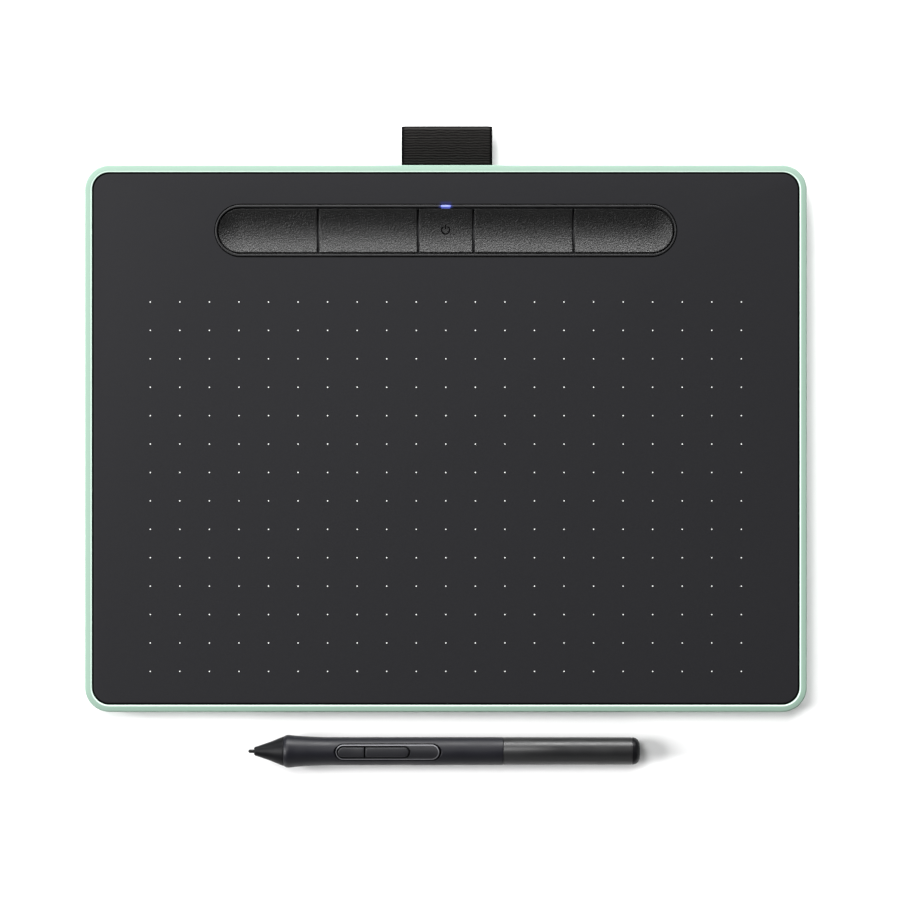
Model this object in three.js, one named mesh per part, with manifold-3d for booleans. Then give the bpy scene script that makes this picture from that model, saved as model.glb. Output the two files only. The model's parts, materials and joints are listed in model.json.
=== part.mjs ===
// A pen drawing tablet of the medium size, with its cordless pen lying on the desk in front of it.
//
// Millimetres. +X is to the right, +Y is away from the user and +Z is up. The origin is on the desk, at the
// centre of the footprint that the tablet, its pen loop and the pen take up together. Inside this file the
// tablet is drawn about its own centre, and the pen along its own axis from the nib's point. The groups at
// the end place them.
import * as THREE from "three";
import { mergeVertices } from "three/addons/utils/BufferGeometryUtils.js";
import Module from "manifold-3d";

// ---- Driving dimensions ----

// The housing: a green lower case, and a flat drawing surface let into its rim.
const CASE = { width: 264, depth: 200, corner: 9, bottom: 0.8, belt: 5.2, shoulder: 6.2, top: 8.8 };
const CASE_ROUND = { underSize: 5, topSize: 1.6 };
const RIM = { opening: 2.5, ledge: 4, floor: 2.2, ledgeTop: 7.2, cornerEase: 0.2 };
const SURFACE = { gap: 0.5, top: 8.6, bottom: 7.2, windowGap: 0.1 };
const SENSOR_RIB = { count: 7, pitch: 33, thick: 1.2, top: 5.9, endGap: 6 };
const HOOK = { alongWidth: [-70, 70], alongDepth: [-40, 30], length: 10, thick: 1.2, gap: 0.4 };
const HOOK_BOTTOM = 4.6;

// The grid of the active area, which the sensor lies under.
const ACTIVE = { width: 216, depth: 135, fromFront: 14.9, sensorMargin: 3 };

// The key bar: a pill-shaped trough that holds four keys, with the power button in the middle.
const BAR = { fromRear: 24, length: 166, width: 16.2, pieceGap: 0.5, ringGap: 0.45, ringWidth: 0.85 };
const KEY = { pitchInner: 10.13, pitchOuter: 46.7, top: 8.45, troughDepth: 1.8, bottom: 5.9 };
const KEY_LIP = { reach: 1, top: 6.45 };
const BEZEL = { top: 8.8, bottom: 6.6, flange: 2.6, flangeTop: 7.1 };
const RETAINER = { floor: 4.5, plate: 0.8, top: 6.5, wall: 1 };
const PLUNGER = { radius: 1.6, bottom: 4.75, hole: 2.2 };
const LIGHT = { width: 3.7, thick: 0.7, bottom: 4.25, top: 8.75, clearance: 0.15 };
const LAMP = { width: 3.2, depth: 1.6, height: 0.7 };

// The circuit boards and what is on them.
const BOARD = { left: -126.3, right: 84, front: 64.5, rear: 82.2, bottom: 2.6, top: 3.4 };
const BOARD_TONGUE = { width: 16, pastLight: 2 };
const SWITCH = { side: 4.6, height: 0.6, nubRadius: 0.9, nubHeight: 0.2 };
const CHIP = { left: -101, right: -92, front: 73, rear: 82, height: 1 };
const RADIO = { left: -117.5, right: -104, front: 66, rear: 71.4, height: 1.8 };
const SENSOR = { thick: 0.8, shieldThick: 0.3, shieldShort: 5, stackGap: 0.05 };
const CABLE = { left: -70, right: -54, thick: 0.2 };
const SOCKET = { depth: 5.4, width: 7.6, height: 2.7, wall: 0.4, back: 0.8, corner: 0.7, fromLeft: 4.6 };
const SOCKET_TONGUE = { width: 3.8, thick: 0.6, inset: 0.8 };
const PORT = { width: 10.4, height: 4.4, corner: 0.8 };
const CELL = { width: 36, depth: 26, height: 3.8, right: 126.5, front: 55 };
const CELL_ROUND = { corner: 2, edge: 0.6 };
const CELL_GAP = 0.2;
const PLUG = { fromRight: 4.6, y: 74, width: 4, depth: 4.8, height: 0.9 };
const LEAD = { halfHeight: 0.35, halfWidth: 0.7 };

// Feet and screws. One screw is under each foot.
const FOOT = { x: 116.5, y: 86, length: 18, width: 8, height: 1.55, edge: 0.3 };
const FOOT_RECESS = { depth: 0.8, clearance: 0.15 };
const SCREW = { head: 1.9, shank: 1, seat: 2.9, headHeight: 1.15, tip: 6.6, bore: 1.2, clearance: 0.25 };
const BOSS = { caseRadius: 3.4, caseTop: 4, coverRadius: 2.6, coverBottom: 4.15 };
const BOARD_SCREW = { head: 1.7, shank: 0.9, headHeight: 0.8, post: 2.2, clearance: 0.2 };

// The woven loop at the rear edge, which the pen slides into.
const LOOP = { x: 0.4, width: 33.3, out: 14.4, thick: 0.8, halfHeight: 3.7, z: 4.6, tail: 9 };
const LOOP_SLOT_GAP = 0.3;
const CLAMP = { width: 40, front: 90.4, rear: 95.4, top: 7.1, gap: 0.1 };

// The pen, measured along its axis from the nib's point.
const PEN = { length: 143.3, seam: 13, crest: 14.5, crestRadius: 6, joint: 93.3, endFillet: 2.7 };
const PEN_TAPER = 14;
const PEN_RADIUS = { mouth: 1.25, lip: 1.6, neck: 2.15, seam: 5.5, waist: 5.12, joint: 5.08, end: 5 };
const PEN_PLACE = { tipX: -72.3, inFront: 14.5 };
const SLACK = 0.35; // between pieces of the pen that stay still beside each other
const GRIP_BORE = 4;
const NOSE = { mouth: 2.1, lip: 2.5, neck: 4.2 };
const SWITCH_PILL = { start: 31.8, length: 38.6, width: 6, radius: 5.27 };
const BUTTON_PILL = { start: 32.8, length: 26, width: 3.9, split: 42.7, splitGap: 0.4, top: 5.35 };
const BUTTON_LIP = { along: 0.7, across: 0.6 };
const PEN_LEVEL = { switchTop: 2.5, buttonBottom: 3, lipTop: 3.45, bezelBottom: 3.8 };
const PEN_BOARD_LEVEL = { bottom: 0.45, top: 1.25 };
const NIB = { radius: 0.65, length: 22, travel: 0.5, stopGap: 0.3, rodRadius: 1.3, rodLength: 3.2 };
const COIL = { start: 8.3, length: 10, radius: 2.2, bore: 1.9 };
const CORE = { radius: 1.55, bore: 1, pastFront: 0.5, pastRear: 1.8 };
const NOSE_BORE = { radius: 2.55, start: 7.4, nib: 1, spigot: 3.6, spigotEnd: 18.6 };
const CHASSIS = { start: 29.9, end: 104, radius: 3.6, deckStart: 31.4, deckEnd: 90 };
const PEN_BOARD = { start: 31.9, end: 88, width: 5.6 };
const PEN_SWITCH = { front: 37.8, rear: 50.8, length: 3.6, width: 2.8, nub: 0.7, nubHeight: 0.3 };
const REAR = { bore: 3.95, boreEnd: 140.2 };
const SPARE = { radius: 0.65, hole: 1, start: 93, length: 19, ring: 1.9 };

const PAST = 1; // how far a cutter reaches past the body it cuts
const ROOT = 0.2; // how far bodies that are joined run into each other

// ---- Shapes ----

const wasm = await Module();
wasm.setup();

const QUARTER = Math.PI / 2;

// Makes a solid of a closed geometry, leaving out the faces that shrink to nothing on an axis.
function solid(geometry) {
  const bare = geometry.clone();
  bare.deleteAttribute("normal");
  bare.deleteAttribute("uv");
  const merged = mergeVertices(bare, 1e-4);
  const corners = merged.index.array;
  const kept = [];
  for (let i = 0; i < corners.length; i += 3) {
    const [a, b, c] = [corners[i], corners[i + 1], corners[i + 2]];
    if (a !== b && b !== c && c !== a) kept.push(a, b, c);
  }
  const mesh = new wasm.Mesh({
    numProp: 3,
    vertProperties: merged.attributes.position.array,
    triVerts: new Uint32Array(kept),
  });
  return new wasm.Manifold(mesh);
}

const cut = (body, ...tools) => tools.reduce((rest, tool) => rest.subtract(tool), body);
const join = (body, ...others) => others.reduce((whole, other) => whole.add(other), body);

function roundedRectangle(width, depth, radius) {
  const x = width / 2 - radius;
  const y = depth / 2 - radius;
  const shape = new THREE.Shape();
  shape.absarc(x, y, radius, 0, QUARTER);
  shape.absarc(-x, y, radius, QUARTER, 2 * QUARTER);
  shape.absarc(-x, -y, radius, 2 * QUARTER, 3 * QUARTER);
  shape.absarc(x, -y, radius, 3 * QUARTER, 4 * QUARTER);
  return shape;
}

const pill = (length, width) => roundedRectangle(length, width, width / 2);

function prism(shape, bottom, top, curveSegments = 4) {
  const options = { depth: top - bottom, bevelEnabled: false, curveSegments };
  return solid(new THREE.ExtrudeGeometry(shape, options).translate(0, 0, bottom));
}

// A prism whose rims are rounded inwards by size, over a height of thickness.
function roundedPrism(shape, bottom, top, size, thickness, bevelSegments) {
  const options = {
    depth: top - bottom - 2 * thickness,
    bevelSize: size,
    bevelOffset: -size,
    bevelThickness: thickness,
    bevelSegments,
    curveSegments: 4,
  };
  return solid(new THREE.ExtrudeGeometry(shape, options).translate(0, 0, bottom + thickness));
}

function block(x0, x1, y0, y1, z0, z1) {
  const box = new THREE.BoxGeometry(x1 - x0, y1 - y0, z1 - z0);
  return solid(box.translate((x0 + x1) / 2, (y0 + y1) / 2, (z0 + z1) / 2));
}

// An upright round bar at (x, y).
function post(radius, bottom, top, x, y, sides = 20) {
  const bar = new THREE.CylinderGeometry(radius, radius, top - bottom, sides);
  return solid(bar.rotateX(QUARTER).translate(x, y, (bottom + top) / 2));
}

// A round bar along the pen's axis.
function axle(radius, start, end, sides = 32) {
  const bar = new THREE.CylinderGeometry(radius, radius, end - start, sides);
  return solid(bar.rotateZ(-QUARTER).translate((start + end) / 2, 0, 0));
}

// A body turned about the pen's axis, from points of [place along the axis, radius].
function turned(points, sides = 32) {
  const profile = points.map(([along, radius]) => new THREE.Vector2(radius, along));
  return solid(new THREE.LatheGeometry(profile, sides).rotateZ(-QUARTER));
}

function quarterRound(centreAlong, centreRadius, radius, steps) {
  const points = [];
  for (let i = 0; i <= steps; i++) {
    const angle = (i / steps) * QUARTER;
    points.push([centreAlong + radius * Math.sin(angle), centreRadius + radius * Math.cos(angle)]);
  }
  return points;
}

// ---- Materials ----

function finish(color, roughness, metalness = 0) {
  return new THREE.MeshStandardMaterial({ color, roughness, metalness });
}

const materials = {
  greenCase: finish(0xbfe3cc, 0.45),
  surface: finish(0x35353a, 0.75),
  key: finish(0x3a3a3c, 0.6),
  bezel: finish(0x2a2a2c, 0.5),
  light: finish(0x7f8cff, 0.2),
  innerPlastic: finish(0x222226, 0.7),
  board: finish(0x1f5a3a, 0.5),
  chip: finish(0x1b1b1d, 0.6),
  steel: finish(0xb4b6ba, 0.3, 1),
  copper: finish(0xb8703c, 0.35, 1),
  shield: finish(0x9a9ca0, 0.4, 1),
  cell: finish(0xa8aab0, 0.45, 0.6),
  ribbon: finish(0xc98a3a, 0.5),
  rubber: finish(0x2b2b2d, 0.85),
  fabric: finish(0x303032, 0.95),
  softGrip: finish(0x333338, 0.65),
  penPlastic: finish(0x38383c, 0.35),
  nib: finish(0x1a1a1c, 0.5),
  ferrite: finish(0x3c3a3a, 0.55),
};

const tablet = new THREE.Group();
const pen = new THREE.Group();

// Adds a solid to a group, as the mesh of one sub-part.
function add(group, name, body, material) {
  const { vertProperties, triVerts } = body.getMesh();
  const geometry = new THREE.BufferGeometry();
  geometry.setAttribute("position", new THREE.BufferAttribute(new Float32Array(vertProperties), 3));
  geometry.setIndex(new THREE.BufferAttribute(new Uint32Array(triVerts), 1));
  const flat = geometry.toNonIndexed();
  flat.computeVertexNormals();
  const mesh = new THREE.Mesh(flat, material);
  mesh.name = name;
  group.add(mesh);
}

// ---- Places that several pieces share ----

const rearEdge = CASE.depth / 2;
const barY = rearEdge - BAR.fromRear;
const activeY = -rearEdge + ACTIVE.fromFront + ACTIVE.depth / 2;
const corners = [-1, 1].flatMap((sideY) => [-1, 1].map((sideX) => [sideX * FOOT.x, sideY * FOOT.y]));
const cornerNames = ["front_left", "front_right", "rear_left", "rear_right"];
const ringInner = { length: BAR.length + 2 * BAR.ringGap, width: BAR.width + 2 * BAR.ringGap };
const ringOuter = {
  length: ringInner.length + 2 * BAR.ringWidth,
  width: ringInner.width + 2 * BAR.ringWidth,
};
const lightY = barY + ringInner.width / 2 + BAR.ringWidth / 2;
const portX = -CASE.width / 2;
const portY = (BOARD.front + BOARD.rear) / 2;
const portZ = BOARD.top + SOCKET.height / 2;

// The pieces along the key bar, from left to right, each between two cuts across the pill.
const barEnd = BAR.length / 2 + BAR.pieceGap;
const pieces = [
  { name: "express_key_1", switchName: "key_switch_1", from: -barEnd, to: -KEY.pitchOuter },
  { name: "express_key_2", switchName: "key_switch_2", from: -KEY.pitchOuter, to: -KEY.pitchInner },
  { name: "power_button", switchName: "power_switch", from: -KEY.pitchInner, to: KEY.pitchInner },
  { name: "express_key_3", switchName: "key_switch_3", from: KEY.pitchInner, to: KEY.pitchOuter },
  { name: "express_key_4", switchName: "key_switch_4", from: KEY.pitchOuter, to: barEnd },
];
for (const piece of pieces) piece.middle = (piece.from + piece.to) / 2;

const atBar = (body) => body.translate([0, barY, 0]);
const boardScrewPlaces = [
  [-121.2, 67.4],
  [-86, 67.4],
  [81, 67.4],
];

// ---- The lower case ----

function caseOuter() {
  const outline = roundedRectangle(CASE.width, CASE.depth, CASE.corner);
  const spare = 20; // each half runs on past the other's rounding
  const under = CASE.belt - CASE.bottom;
  const over = CASE.top - CASE.shoulder;
  const lower = roundedPrism(outline, CASE.bottom, CASE.top + spare, CASE_ROUND.underSize, under, 6);
  const upper = roundedPrism(outline, CASE.bottom - spare, CASE.top, CASE_ROUND.topSize, over, 5);
  return lower.intersect(upper);
}

// Ribs that carry the sensor, so that the surface doesn't give under the pen.
function sensorRibs() {
  const front = activeY - ACTIVE.depth / 2 + SENSOR_RIB.endGap;
  const rear = activeY + ACTIVE.depth / 2 - SENSOR_RIB.endGap;
  const half = SENSOR_RIB.thick / 2;
  const ribs = [];
  for (let i = 0; i < SENSOR_RIB.count; i++) {
    const x = (i - (SENSOR_RIB.count - 1) / 2) * SENSOR_RIB.pitch;
    ribs.push(block(x - half, x + half, front, rear, RIM.floor - ROOT, SENSOR_RIB.top));
  }
  return ribs;
}

function addCase() {
  const opening = roundedRectangle(
    CASE.width - 2 * RIM.opening,
    CASE.depth - 2 * RIM.opening,
    CASE.corner - RIM.opening + RIM.cornerEase,
  );
  const inside = roundedRectangle(
    CASE.width - 2 * RIM.ledge,
    CASE.depth - 2 * RIM.ledge,
    CASE.corner - RIM.ledge,
  );
  let body = cut(
    caseOuter(),
    prism(opening, RIM.ledgeTop, CASE.top + PAST),
    prism(inside, RIM.floor, RIM.ledgeTop + PAST),
  );
  const root = RIM.floor - ROOT;
  const screwBosses = corners.map(([x, y]) => post(BOSS.caseRadius, root, BOSS.caseTop, x, y));
  const boardPosts = boardScrewPlaces.map(([x, y]) => post(BOARD_SCREW.post, root, BOARD.bottom, x, y));
  const inner = rearEdge - RIM.ledge;
  const loopLedge = block(
    LOOP.x - CLAMP.width / 2, LOOP.x + CLAMP.width / 2, CLAMP.front, inner + ROOT,
    root, LOOP.z - LOOP.thick - CLAMP.gap,
  );
  body = join(body, ...screwBosses, ...boardPosts, ...sensorRibs(), loopLedge);
  const recessGap = 2 * FOOT_RECESS.clearance;
  const footRecess = pill(FOOT.length + recessGap, FOOT.width + recessGap);
  const recessTop = CASE.bottom + FOOT_RECESS.depth;
  for (const [x, y] of corners) {
    body = cut(
      body,
      prism(footRecess, CASE.bottom - PAST, recessTop).translate([x, y, 0]),
      post(SCREW.head + SCREW.clearance, recessTop - ROOT, SCREW.seat, x, y),
      post(SCREW.shank + SCREW.clearance, SCREW.seat - ROOT, BOSS.caseTop + PAST, x, y),
    );
  }
  const portShape = roundedRectangle(PORT.width, PORT.height, PORT.corner);
  const port = prism(portShape, -RIM.ledge - PAST, RIM.ledge + PAST)
    .rotate([90, 0, 90])
    .translate([portX, portY, portZ]);
  const halfSlot = LOOP.width / 2 + LOOP_SLOT_GAP;
  const loopSlot = block(
    LOOP.x - halfSlot, LOOP.x + halfSlot, inner - PAST, rearEdge + PAST,
    LOOP.z - LOOP.thick - LOOP_SLOT_GAP, LOOP.z + LOOP.thick + LOOP_SLOT_GAP,
  );
  add(tablet, "rear_case", cut(body, port, loopSlot), materials.greenCase);
}

// ---- The drawing surface ----

function addSurface() {
  const inset = RIM.opening + SURFACE.gap;
  const outline = roundedRectangle(
    CASE.width - 2 * inset, CASE.depth - 2 * inset, CASE.corner - inset + RIM.cornerEase,
  );
  let cover = prism(outline, SURFACE.bottom, SURFACE.top);
  const root = SURFACE.bottom + ROOT;
  const bosses = corners.map(([x, y]) => post(BOSS.coverRadius, BOSS.coverBottom, root, x, y));
  const halfLength = HOOK.length / 2;
  const halfThick = HOOK.thick / 2;
  const hookX = CASE.width / 2 - RIM.ledge - HOOK.gap - halfThick;
  const hookY = CASE.depth / 2 - RIM.ledge - HOOK.gap - halfThick;
  const hooks = [];
  for (const side of [-1, 1]) {
    for (const x of HOOK.alongWidth) {
      const y = side * hookY;
      hooks.push(block(x - halfLength, x + halfLength, y - halfThick, y + halfThick, HOOK_BOTTOM, root));
    }
    for (const y of HOOK.alongDepth) {
      const x = side * hookX;
      hooks.push(block(x - halfThick, x + halfThick, y - halfLength, y + halfLength, HOOK_BOTTOM, root));
    }
  }
  cover = join(cover, ...bosses, ...hooks);
  const pilotTop = SCREW.tip + SCREW.clearance;
  const pilots = corners.map(([x, y]) => post(SCREW.bore, BOSS.coverBottom - PAST, pilotTop, x, y));
  const windowShape = pill(
    ringOuter.length + 2 * SURFACE.windowGap,
    ringOuter.width + 2 * SURFACE.windowGap,
  );
  const window = atBar(prism(windowShape, 0, CASE.top + PAST, 6));
  add(tablet, "drawing_surface", cut(cover, window, ...pilots), materials.surface);
}

// ---- The key bar ----

// The hollow that all the keys share: a trough along the bar, turned round at both ends.
function trough() {
  const half = BAR.width / 2;
  const radius = (half * half + KEY.troughDepth * KEY.troughDepth) / (2 * KEY.troughDepth);
  const bottom = KEY.top - KEY.troughDepth;
  const sweep = Math.asin(half / radius);
  const above = KEY.top + PAST;
  const arc = [];
  const steps = 8;
  for (let i = 0; i <= steps; i++) {
    const angle = (i / steps) * sweep;
    arc.push([radius * Math.sin(angle), bottom + radius * (1 - Math.cos(angle))]);
  }
  const wide = half + 2;
  const halfProfile = [...arc, [wide, KEY.top + 0.3], [wide, above], [0, above]];
  const section = new THREE.Shape();
  section.setFromPoints([
    ...halfProfile.slice(0, -1).map(([y, z]) => new THREE.Vector2(y, z)),
    ...halfProfile.slice(1, -1).reverse().map(([y, z]) => new THREE.Vector2(-y, z)),
  ]);
  const spine = BAR.length / 2 - half;
  const along = prism(section, -spine, spine).rotate([90, 0, 90]);
  const profile = halfProfile.map(([y, z]) => new THREE.Vector2(y, z));
  const round = solid(new THREE.LatheGeometry(profile, 32).rotateX(QUARTER));
  return join(along, round.translate([spine, 0, 0]), round.translate([-spine, 0, 0]));
}

function addKeys() {
  const hollow = trough();
  const cap = prism(pill(BAR.length, BAR.width), KEY.bottom, KEY.top, 6);
  const lip = prism(
    pill(BAR.length + 2 * KEY_LIP.reach, BAR.width + 2 * KEY_LIP.reach), KEY.bottom, KEY_LIP.top, 6,
  );
  const whole = cut(join(cap, lip), hollow);
  const guideRoom = block(
    -LIGHT.width, LIGHT.width, BAR.width / 2 + LIGHT.clearance, BAR.width, 0, CASE.top,
  );
  const halfGap = BAR.pieceGap / 2;
  const reach = BAR.width;
  for (const { name, from, to, middle } of pieces) {
    const start = from === -barEnd ? from - KEY_LIP.reach : from + halfGap;
    const end = to === barEnd ? to + KEY_LIP.reach : to - halfGap;
    const slice = block(start, end, -reach, reach, 0, CASE.top);
    const plunger = post(PLUNGER.radius, PLUNGER.bottom, KEY.bottom + ROOT, middle, 0);
    const key = join(cut(whole.intersect(slice), guideRoom), plunger);
    add(tablet, name, atBar(key), materials.key);
  }
}

// A cutter round the light guide, in the frame of the bar.
function lightHole(clearance, top) {
  const halfWidth = LIGHT.width / 2 + clearance;
  const halfThick = LIGHT.thick / 2 + clearance;
  const y = lightY - barY;
  return block(-halfWidth, halfWidth, y - halfThick, y + halfThick, 0, top);
}

function addBezel() {
  const ring = prism(pill(ringOuter.length, ringOuter.width), BEZEL.bottom, BEZEL.top, 6);
  const flange = prism(
    pill(ringOuter.length + 2 * BEZEL.flange, ringOuter.width + 2 * BEZEL.flange),
    BEZEL.bottom, BEZEL.flangeTop, 6,
  );
  const hole = prism(pill(ringInner.length, ringInner.width), 0, CASE.top + PAST, 6);
  const slot = lightHole(LIGHT.clearance, CASE.top + PAST);
  add(tablet, "key_bezel", atBar(cut(join(ring, flange), hole, slot)), materials.bezel);
}

// The tray behind the keys, which holds them in the bezel and lets their plungers through.
function addRetainer() {
  const reach = BEZEL.flange;
  const room = reach - RETAINER.wall;
  const outer = pill(ringOuter.length + 2 * reach, ringOuter.width + 2 * reach);
  const inner = pill(ringOuter.length + 2 * room, ringOuter.width + 2 * room);
  const tray = cut(
    prism(outer, RETAINER.floor, RETAINER.top),
    prism(inner, RETAINER.floor + RETAINER.plate, RETAINER.top + PAST),
  );
  const holes = pieces.map(({ middle }) => post(PLUNGER.hole, 0, CASE.top, middle, 0));
  const guideHole = lightHole(2 * LIGHT.clearance, RETAINER.floor + PAST);
  add(tablet, "key_retainer", atBar(cut(tray, ...holes, guideHole)), materials.innerPlastic);
}

function addStatusLight() {
  const guide = block(
    -LIGHT.width / 2, LIGHT.width / 2, lightY - LIGHT.thick / 2, lightY + LIGHT.thick / 2,
    LIGHT.bottom, LIGHT.top,
  );
  add(tablet, "light_guide", guide, materials.light);
  // The lamp sits on a tongue of the main board, under the guide.
  const lamp = block(
    -LAMP.width / 2, LAMP.width / 2, lightY - LAMP.depth / 2, lightY + LAMP.depth / 2,
    BOARD.top, BOARD.top + LAMP.height,
  );
  add(tablet, "status_led", lamp, materials.light);
}

// ---- Boards, socket and cell ----

function addMainBoard() {
  const board = block(BOARD.left, BOARD.right, BOARD.front, BOARD.rear, BOARD.bottom, BOARD.top);
  const tongue = block(
    -BOARD_TONGUE.width / 2, BOARD_TONGUE.width / 2, BOARD.rear - ROOT, lightY + BOARD_TONGUE.pastLight,
    BOARD.bottom, BOARD.top,
  );
  const holes = boardScrewPlaces.map(([x, y]) =>
    post(BOARD_SCREW.shank + BOARD_SCREW.clearance, 0, CASE.top, x, y));
  add(tablet, "main_board", cut(join(board, tongue), ...holes), materials.board);
  boardScrewPlaces.forEach(([x, y], i) => {
    const screw = join(
      post(BOARD_SCREW.head, BOARD.top, BOARD.top + BOARD_SCREW.headHeight, x, y),
      post(BOARD_SCREW.shank, BOARD.bottom + 0.05, BOARD.top + ROOT, x, y),
    );
    add(tablet, `board_screw_${i + 1}`, screw, materials.steel);
  });
  for (const { switchName, middle } of pieces) {
    const half = SWITCH.side / 2;
    const top = BOARD.top + SWITCH.height;
    const body = join(
      block(middle - half, middle + half, barY - half, barY + half, BOARD.top, top),
      post(SWITCH.nubRadius, top - ROOT, top + SWITCH.nubHeight, middle, barY),
    );
    add(tablet, switchName, body, materials.steel);
  }
  const onBoard = ({ left, right, front, rear, height }) =>
    block(left, right, front, rear, BOARD.top, BOARD.top + height);
  add(tablet, "controller_chip", onBoard(CHIP), materials.chip);
  add(tablet, "radio_module", onBoard(RADIO), materials.shield);
}

function addSocket() {
  const x0 = portX + SOCKET.fromLeft;
  const shell = roundedRectangle(SOCKET.width, SOCKET.height, SOCKET.corner);
  const mouth = roundedRectangle(
    SOCKET.width - 2 * SOCKET.wall, SOCKET.height - 2 * SOCKET.wall, SOCKET.corner - SOCKET.wall / 2,
  );
  const body = cut(
    prism(shell, 0, SOCKET.depth),
    prism(mouth, -PAST, SOCKET.depth - SOCKET.back),
  );
  const [halfWidth, halfThick] = [SOCKET_TONGUE.width / 2, SOCKET_TONGUE.thick / 2];
  const tongueEnd = SOCKET.depth - SOCKET.back / 2;
  const tongue = block(-halfWidth, halfWidth, -halfThick, halfThick, SOCKET_TONGUE.inset, tongueEnd);
  const socket = join(body, tongue).rotate([90, 0, 90]).translate([x0, portY, portZ]);
  add(tablet, "usb_socket", socket, materials.steel);
}

function addSensor() {
  const halfWidth = ACTIVE.width / 2 + ACTIVE.sensorMargin;
  const front = activeY - ACTIVE.depth / 2 - ACTIVE.sensorMargin;
  const rear = activeY + ACTIVE.depth / 2 + ACTIVE.sensorMargin;
  const boardTop = SURFACE.bottom - SENSOR.stackGap;
  const boardBottom = boardTop - SENSOR.thick;
  const shieldTop = boardBottom - SENSOR.stackGap;
  const board = block(-halfWidth, halfWidth, front, rear, boardBottom, boardTop);
  add(tablet, "sensor_board", board, materials.board);
  const shieldRear = rear - SENSOR.shieldShort;
  const shieldBottom = shieldTop - SENSOR.shieldThick;
  const shield = block(-halfWidth, halfWidth, front, shieldRear, shieldBottom, shieldTop);
  add(tablet, "sensor_shield", shield, materials.shield);

  // A flat cable from the rear of the sensor down to the main board.
  const path = new THREE.CatmullRomCurve3([
    new THREE.Vector3(0, rear - 3.6, boardBottom - 0.3),
    new THREE.Vector3(0, rear + 1.5, boardBottom - 0.4),
    new THREE.Vector3(0, rear + 4.6, (boardBottom + BOARD.top) / 2),
    new THREE.Vector3(0, BOARD.front + 0.4, BOARD.top + 0.3),
    new THREE.Vector3(0, BOARD.front + 4, BOARD.top + 0.15),
  ]);
  const points = path.getPoints(14);
  const section = new THREE.Shape();
  section.setFromPoints([
    ...points.map(({ y, z }) => new THREE.Vector2(y, z)),
    ...points.reverse().map(({ y, z }) => new THREE.Vector2(y, z + CABLE.thick)),
  ]);
  const cable = prism(section, CABLE.left, CABLE.right).rotate([90, 0, 90]);
  add(tablet, "sensor_cable", cable, materials.ribbon);
}

function addCell() {
  const cx = CELL.right - CELL.width / 2;
  const cy = CELL.front + CELL.depth / 2;
  const bottom = RIM.floor + CELL_GAP;
  const shape = roundedRectangle(CELL.width, CELL.depth, CELL_ROUND.corner);
  const cell = roundedPrism(shape, bottom, bottom + CELL.height, CELL_ROUND.edge, CELL_ROUND.edge, 2);
  add(tablet, "battery_cell", cell.translate([cx, cy, 0]), materials.cell);
  const plugX = BOARD.right - PLUG.fromRight;
  const plug = block(
    plugX - PLUG.width / 2, plugX + PLUG.width / 2, PLUG.y - PLUG.depth / 2, PLUG.y + PLUG.depth / 2,
    BOARD.top, BOARD.top + PLUG.height,
  );
  add(tablet, "battery_plug", plug, materials.chip);
  const leadZ = BOARD.top + PLUG.height / 2 + 0.05;
  const cellLeft = cx - CELL.width / 2;
  const route = new THREE.CatmullRomCurve3([
    new THREE.Vector3(plugX + PLUG.width / 2 + 0.3, PLUG.y, leadZ),
    new THREE.Vector3(plugX + PLUG.width / 2 + 3, PLUG.y + 0.6, leadZ + 0.05),
    new THREE.Vector3(cellLeft - 2.4, PLUG.y + 1.6, bottom + 1.6),
    new THREE.Vector3(cellLeft - 0.3, PLUG.y + 1.6, bottom + 1.7),
  ]);
  const wire = new THREE.Shape();
  wire.absellipse(0, 0, LEAD.halfHeight, LEAD.halfWidth, 0, 2 * Math.PI);
  const lead = new THREE.ExtrudeGeometry(wire, { steps: 12, extrudePath: route, curveSegments: 4 });
  add(tablet, "battery_lead", solid(lead), materials.ribbon);
}

// ---- Feet, screws and the pen loop ----

function addFeetAndScrews() {
  corners.forEach(([x, y], i) => {
    const foot = roundedPrism(pill(FOOT.length, FOOT.width), 0, FOOT.height, FOOT.edge, FOOT.edge, 2);
    add(tablet, `foot_${cornerNames[i]}`, foot.translate([x, y, 0]), materials.rubber);
    const screw = join(
      post(SCREW.head, SCREW.seat - SCREW.headHeight, SCREW.seat - 0.05, x, y),
      post(SCREW.shank, SCREW.seat - ROOT, SCREW.tip, x, y),
    );
    add(tablet, `case_screw_${cornerNames[i]}`, screw, materials.steel);
  });
}

// The loop's outline from the side: a drop that is open at the edge of the case, on a sewn tail.
function loopSection(halfHeight, thick, out) {
  const nose = out - halfHeight;
  const shape = new THREE.Shape();
  shape.moveTo(0, -thick);
  shape.bezierCurveTo(nose * 0.35, -thick, nose * 0.55, -halfHeight, nose, -halfHeight);
  shape.absarc(nose, 0, halfHeight, -QUARTER, QUARTER);
  shape.bezierCurveTo(nose * 0.55, halfHeight, nose * 0.35, thick, 0, thick);
  return shape;
}

function addLoop() {
  const outer = loopSection(LOOP.halfHeight, LOOP.thick, LOOP.out);
  outer.lineTo(-LOOP.tail, LOOP.thick);
  outer.lineTo(-LOOP.tail, -LOOP.thick);
  const innerHeight = LOOP.halfHeight - LOOP.thick;
  const root = 1; // from the edge of the case to where the two layers part
  const inner = loopSection(innerHeight, 0.1, LOOP.out - LOOP.thick - root);
  const half = LOOP.width / 2;
  const opening = prism(inner, -half - PAST, half + PAST, 6).translate([root, 0, 0]);
  const body = cut(prism(outer, -half, half, 6), opening);
  const loop = body.rotate([90, 0, 90]).translate([LOOP.x, rearEdge, LOOP.z]);
  add(tablet, "pen_loop", loop, materials.fabric);
  const clamp = block(
    LOOP.x - CLAMP.width / 2, LOOP.x + CLAMP.width / 2, CLAMP.front, CLAMP.rear,
    LOOP.z + LOOP.thick + CLAMP.gap, CLAMP.top,
  );
  add(tablet, "loop_clamp", clamp, materials.innerPlastic);
}

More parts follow.
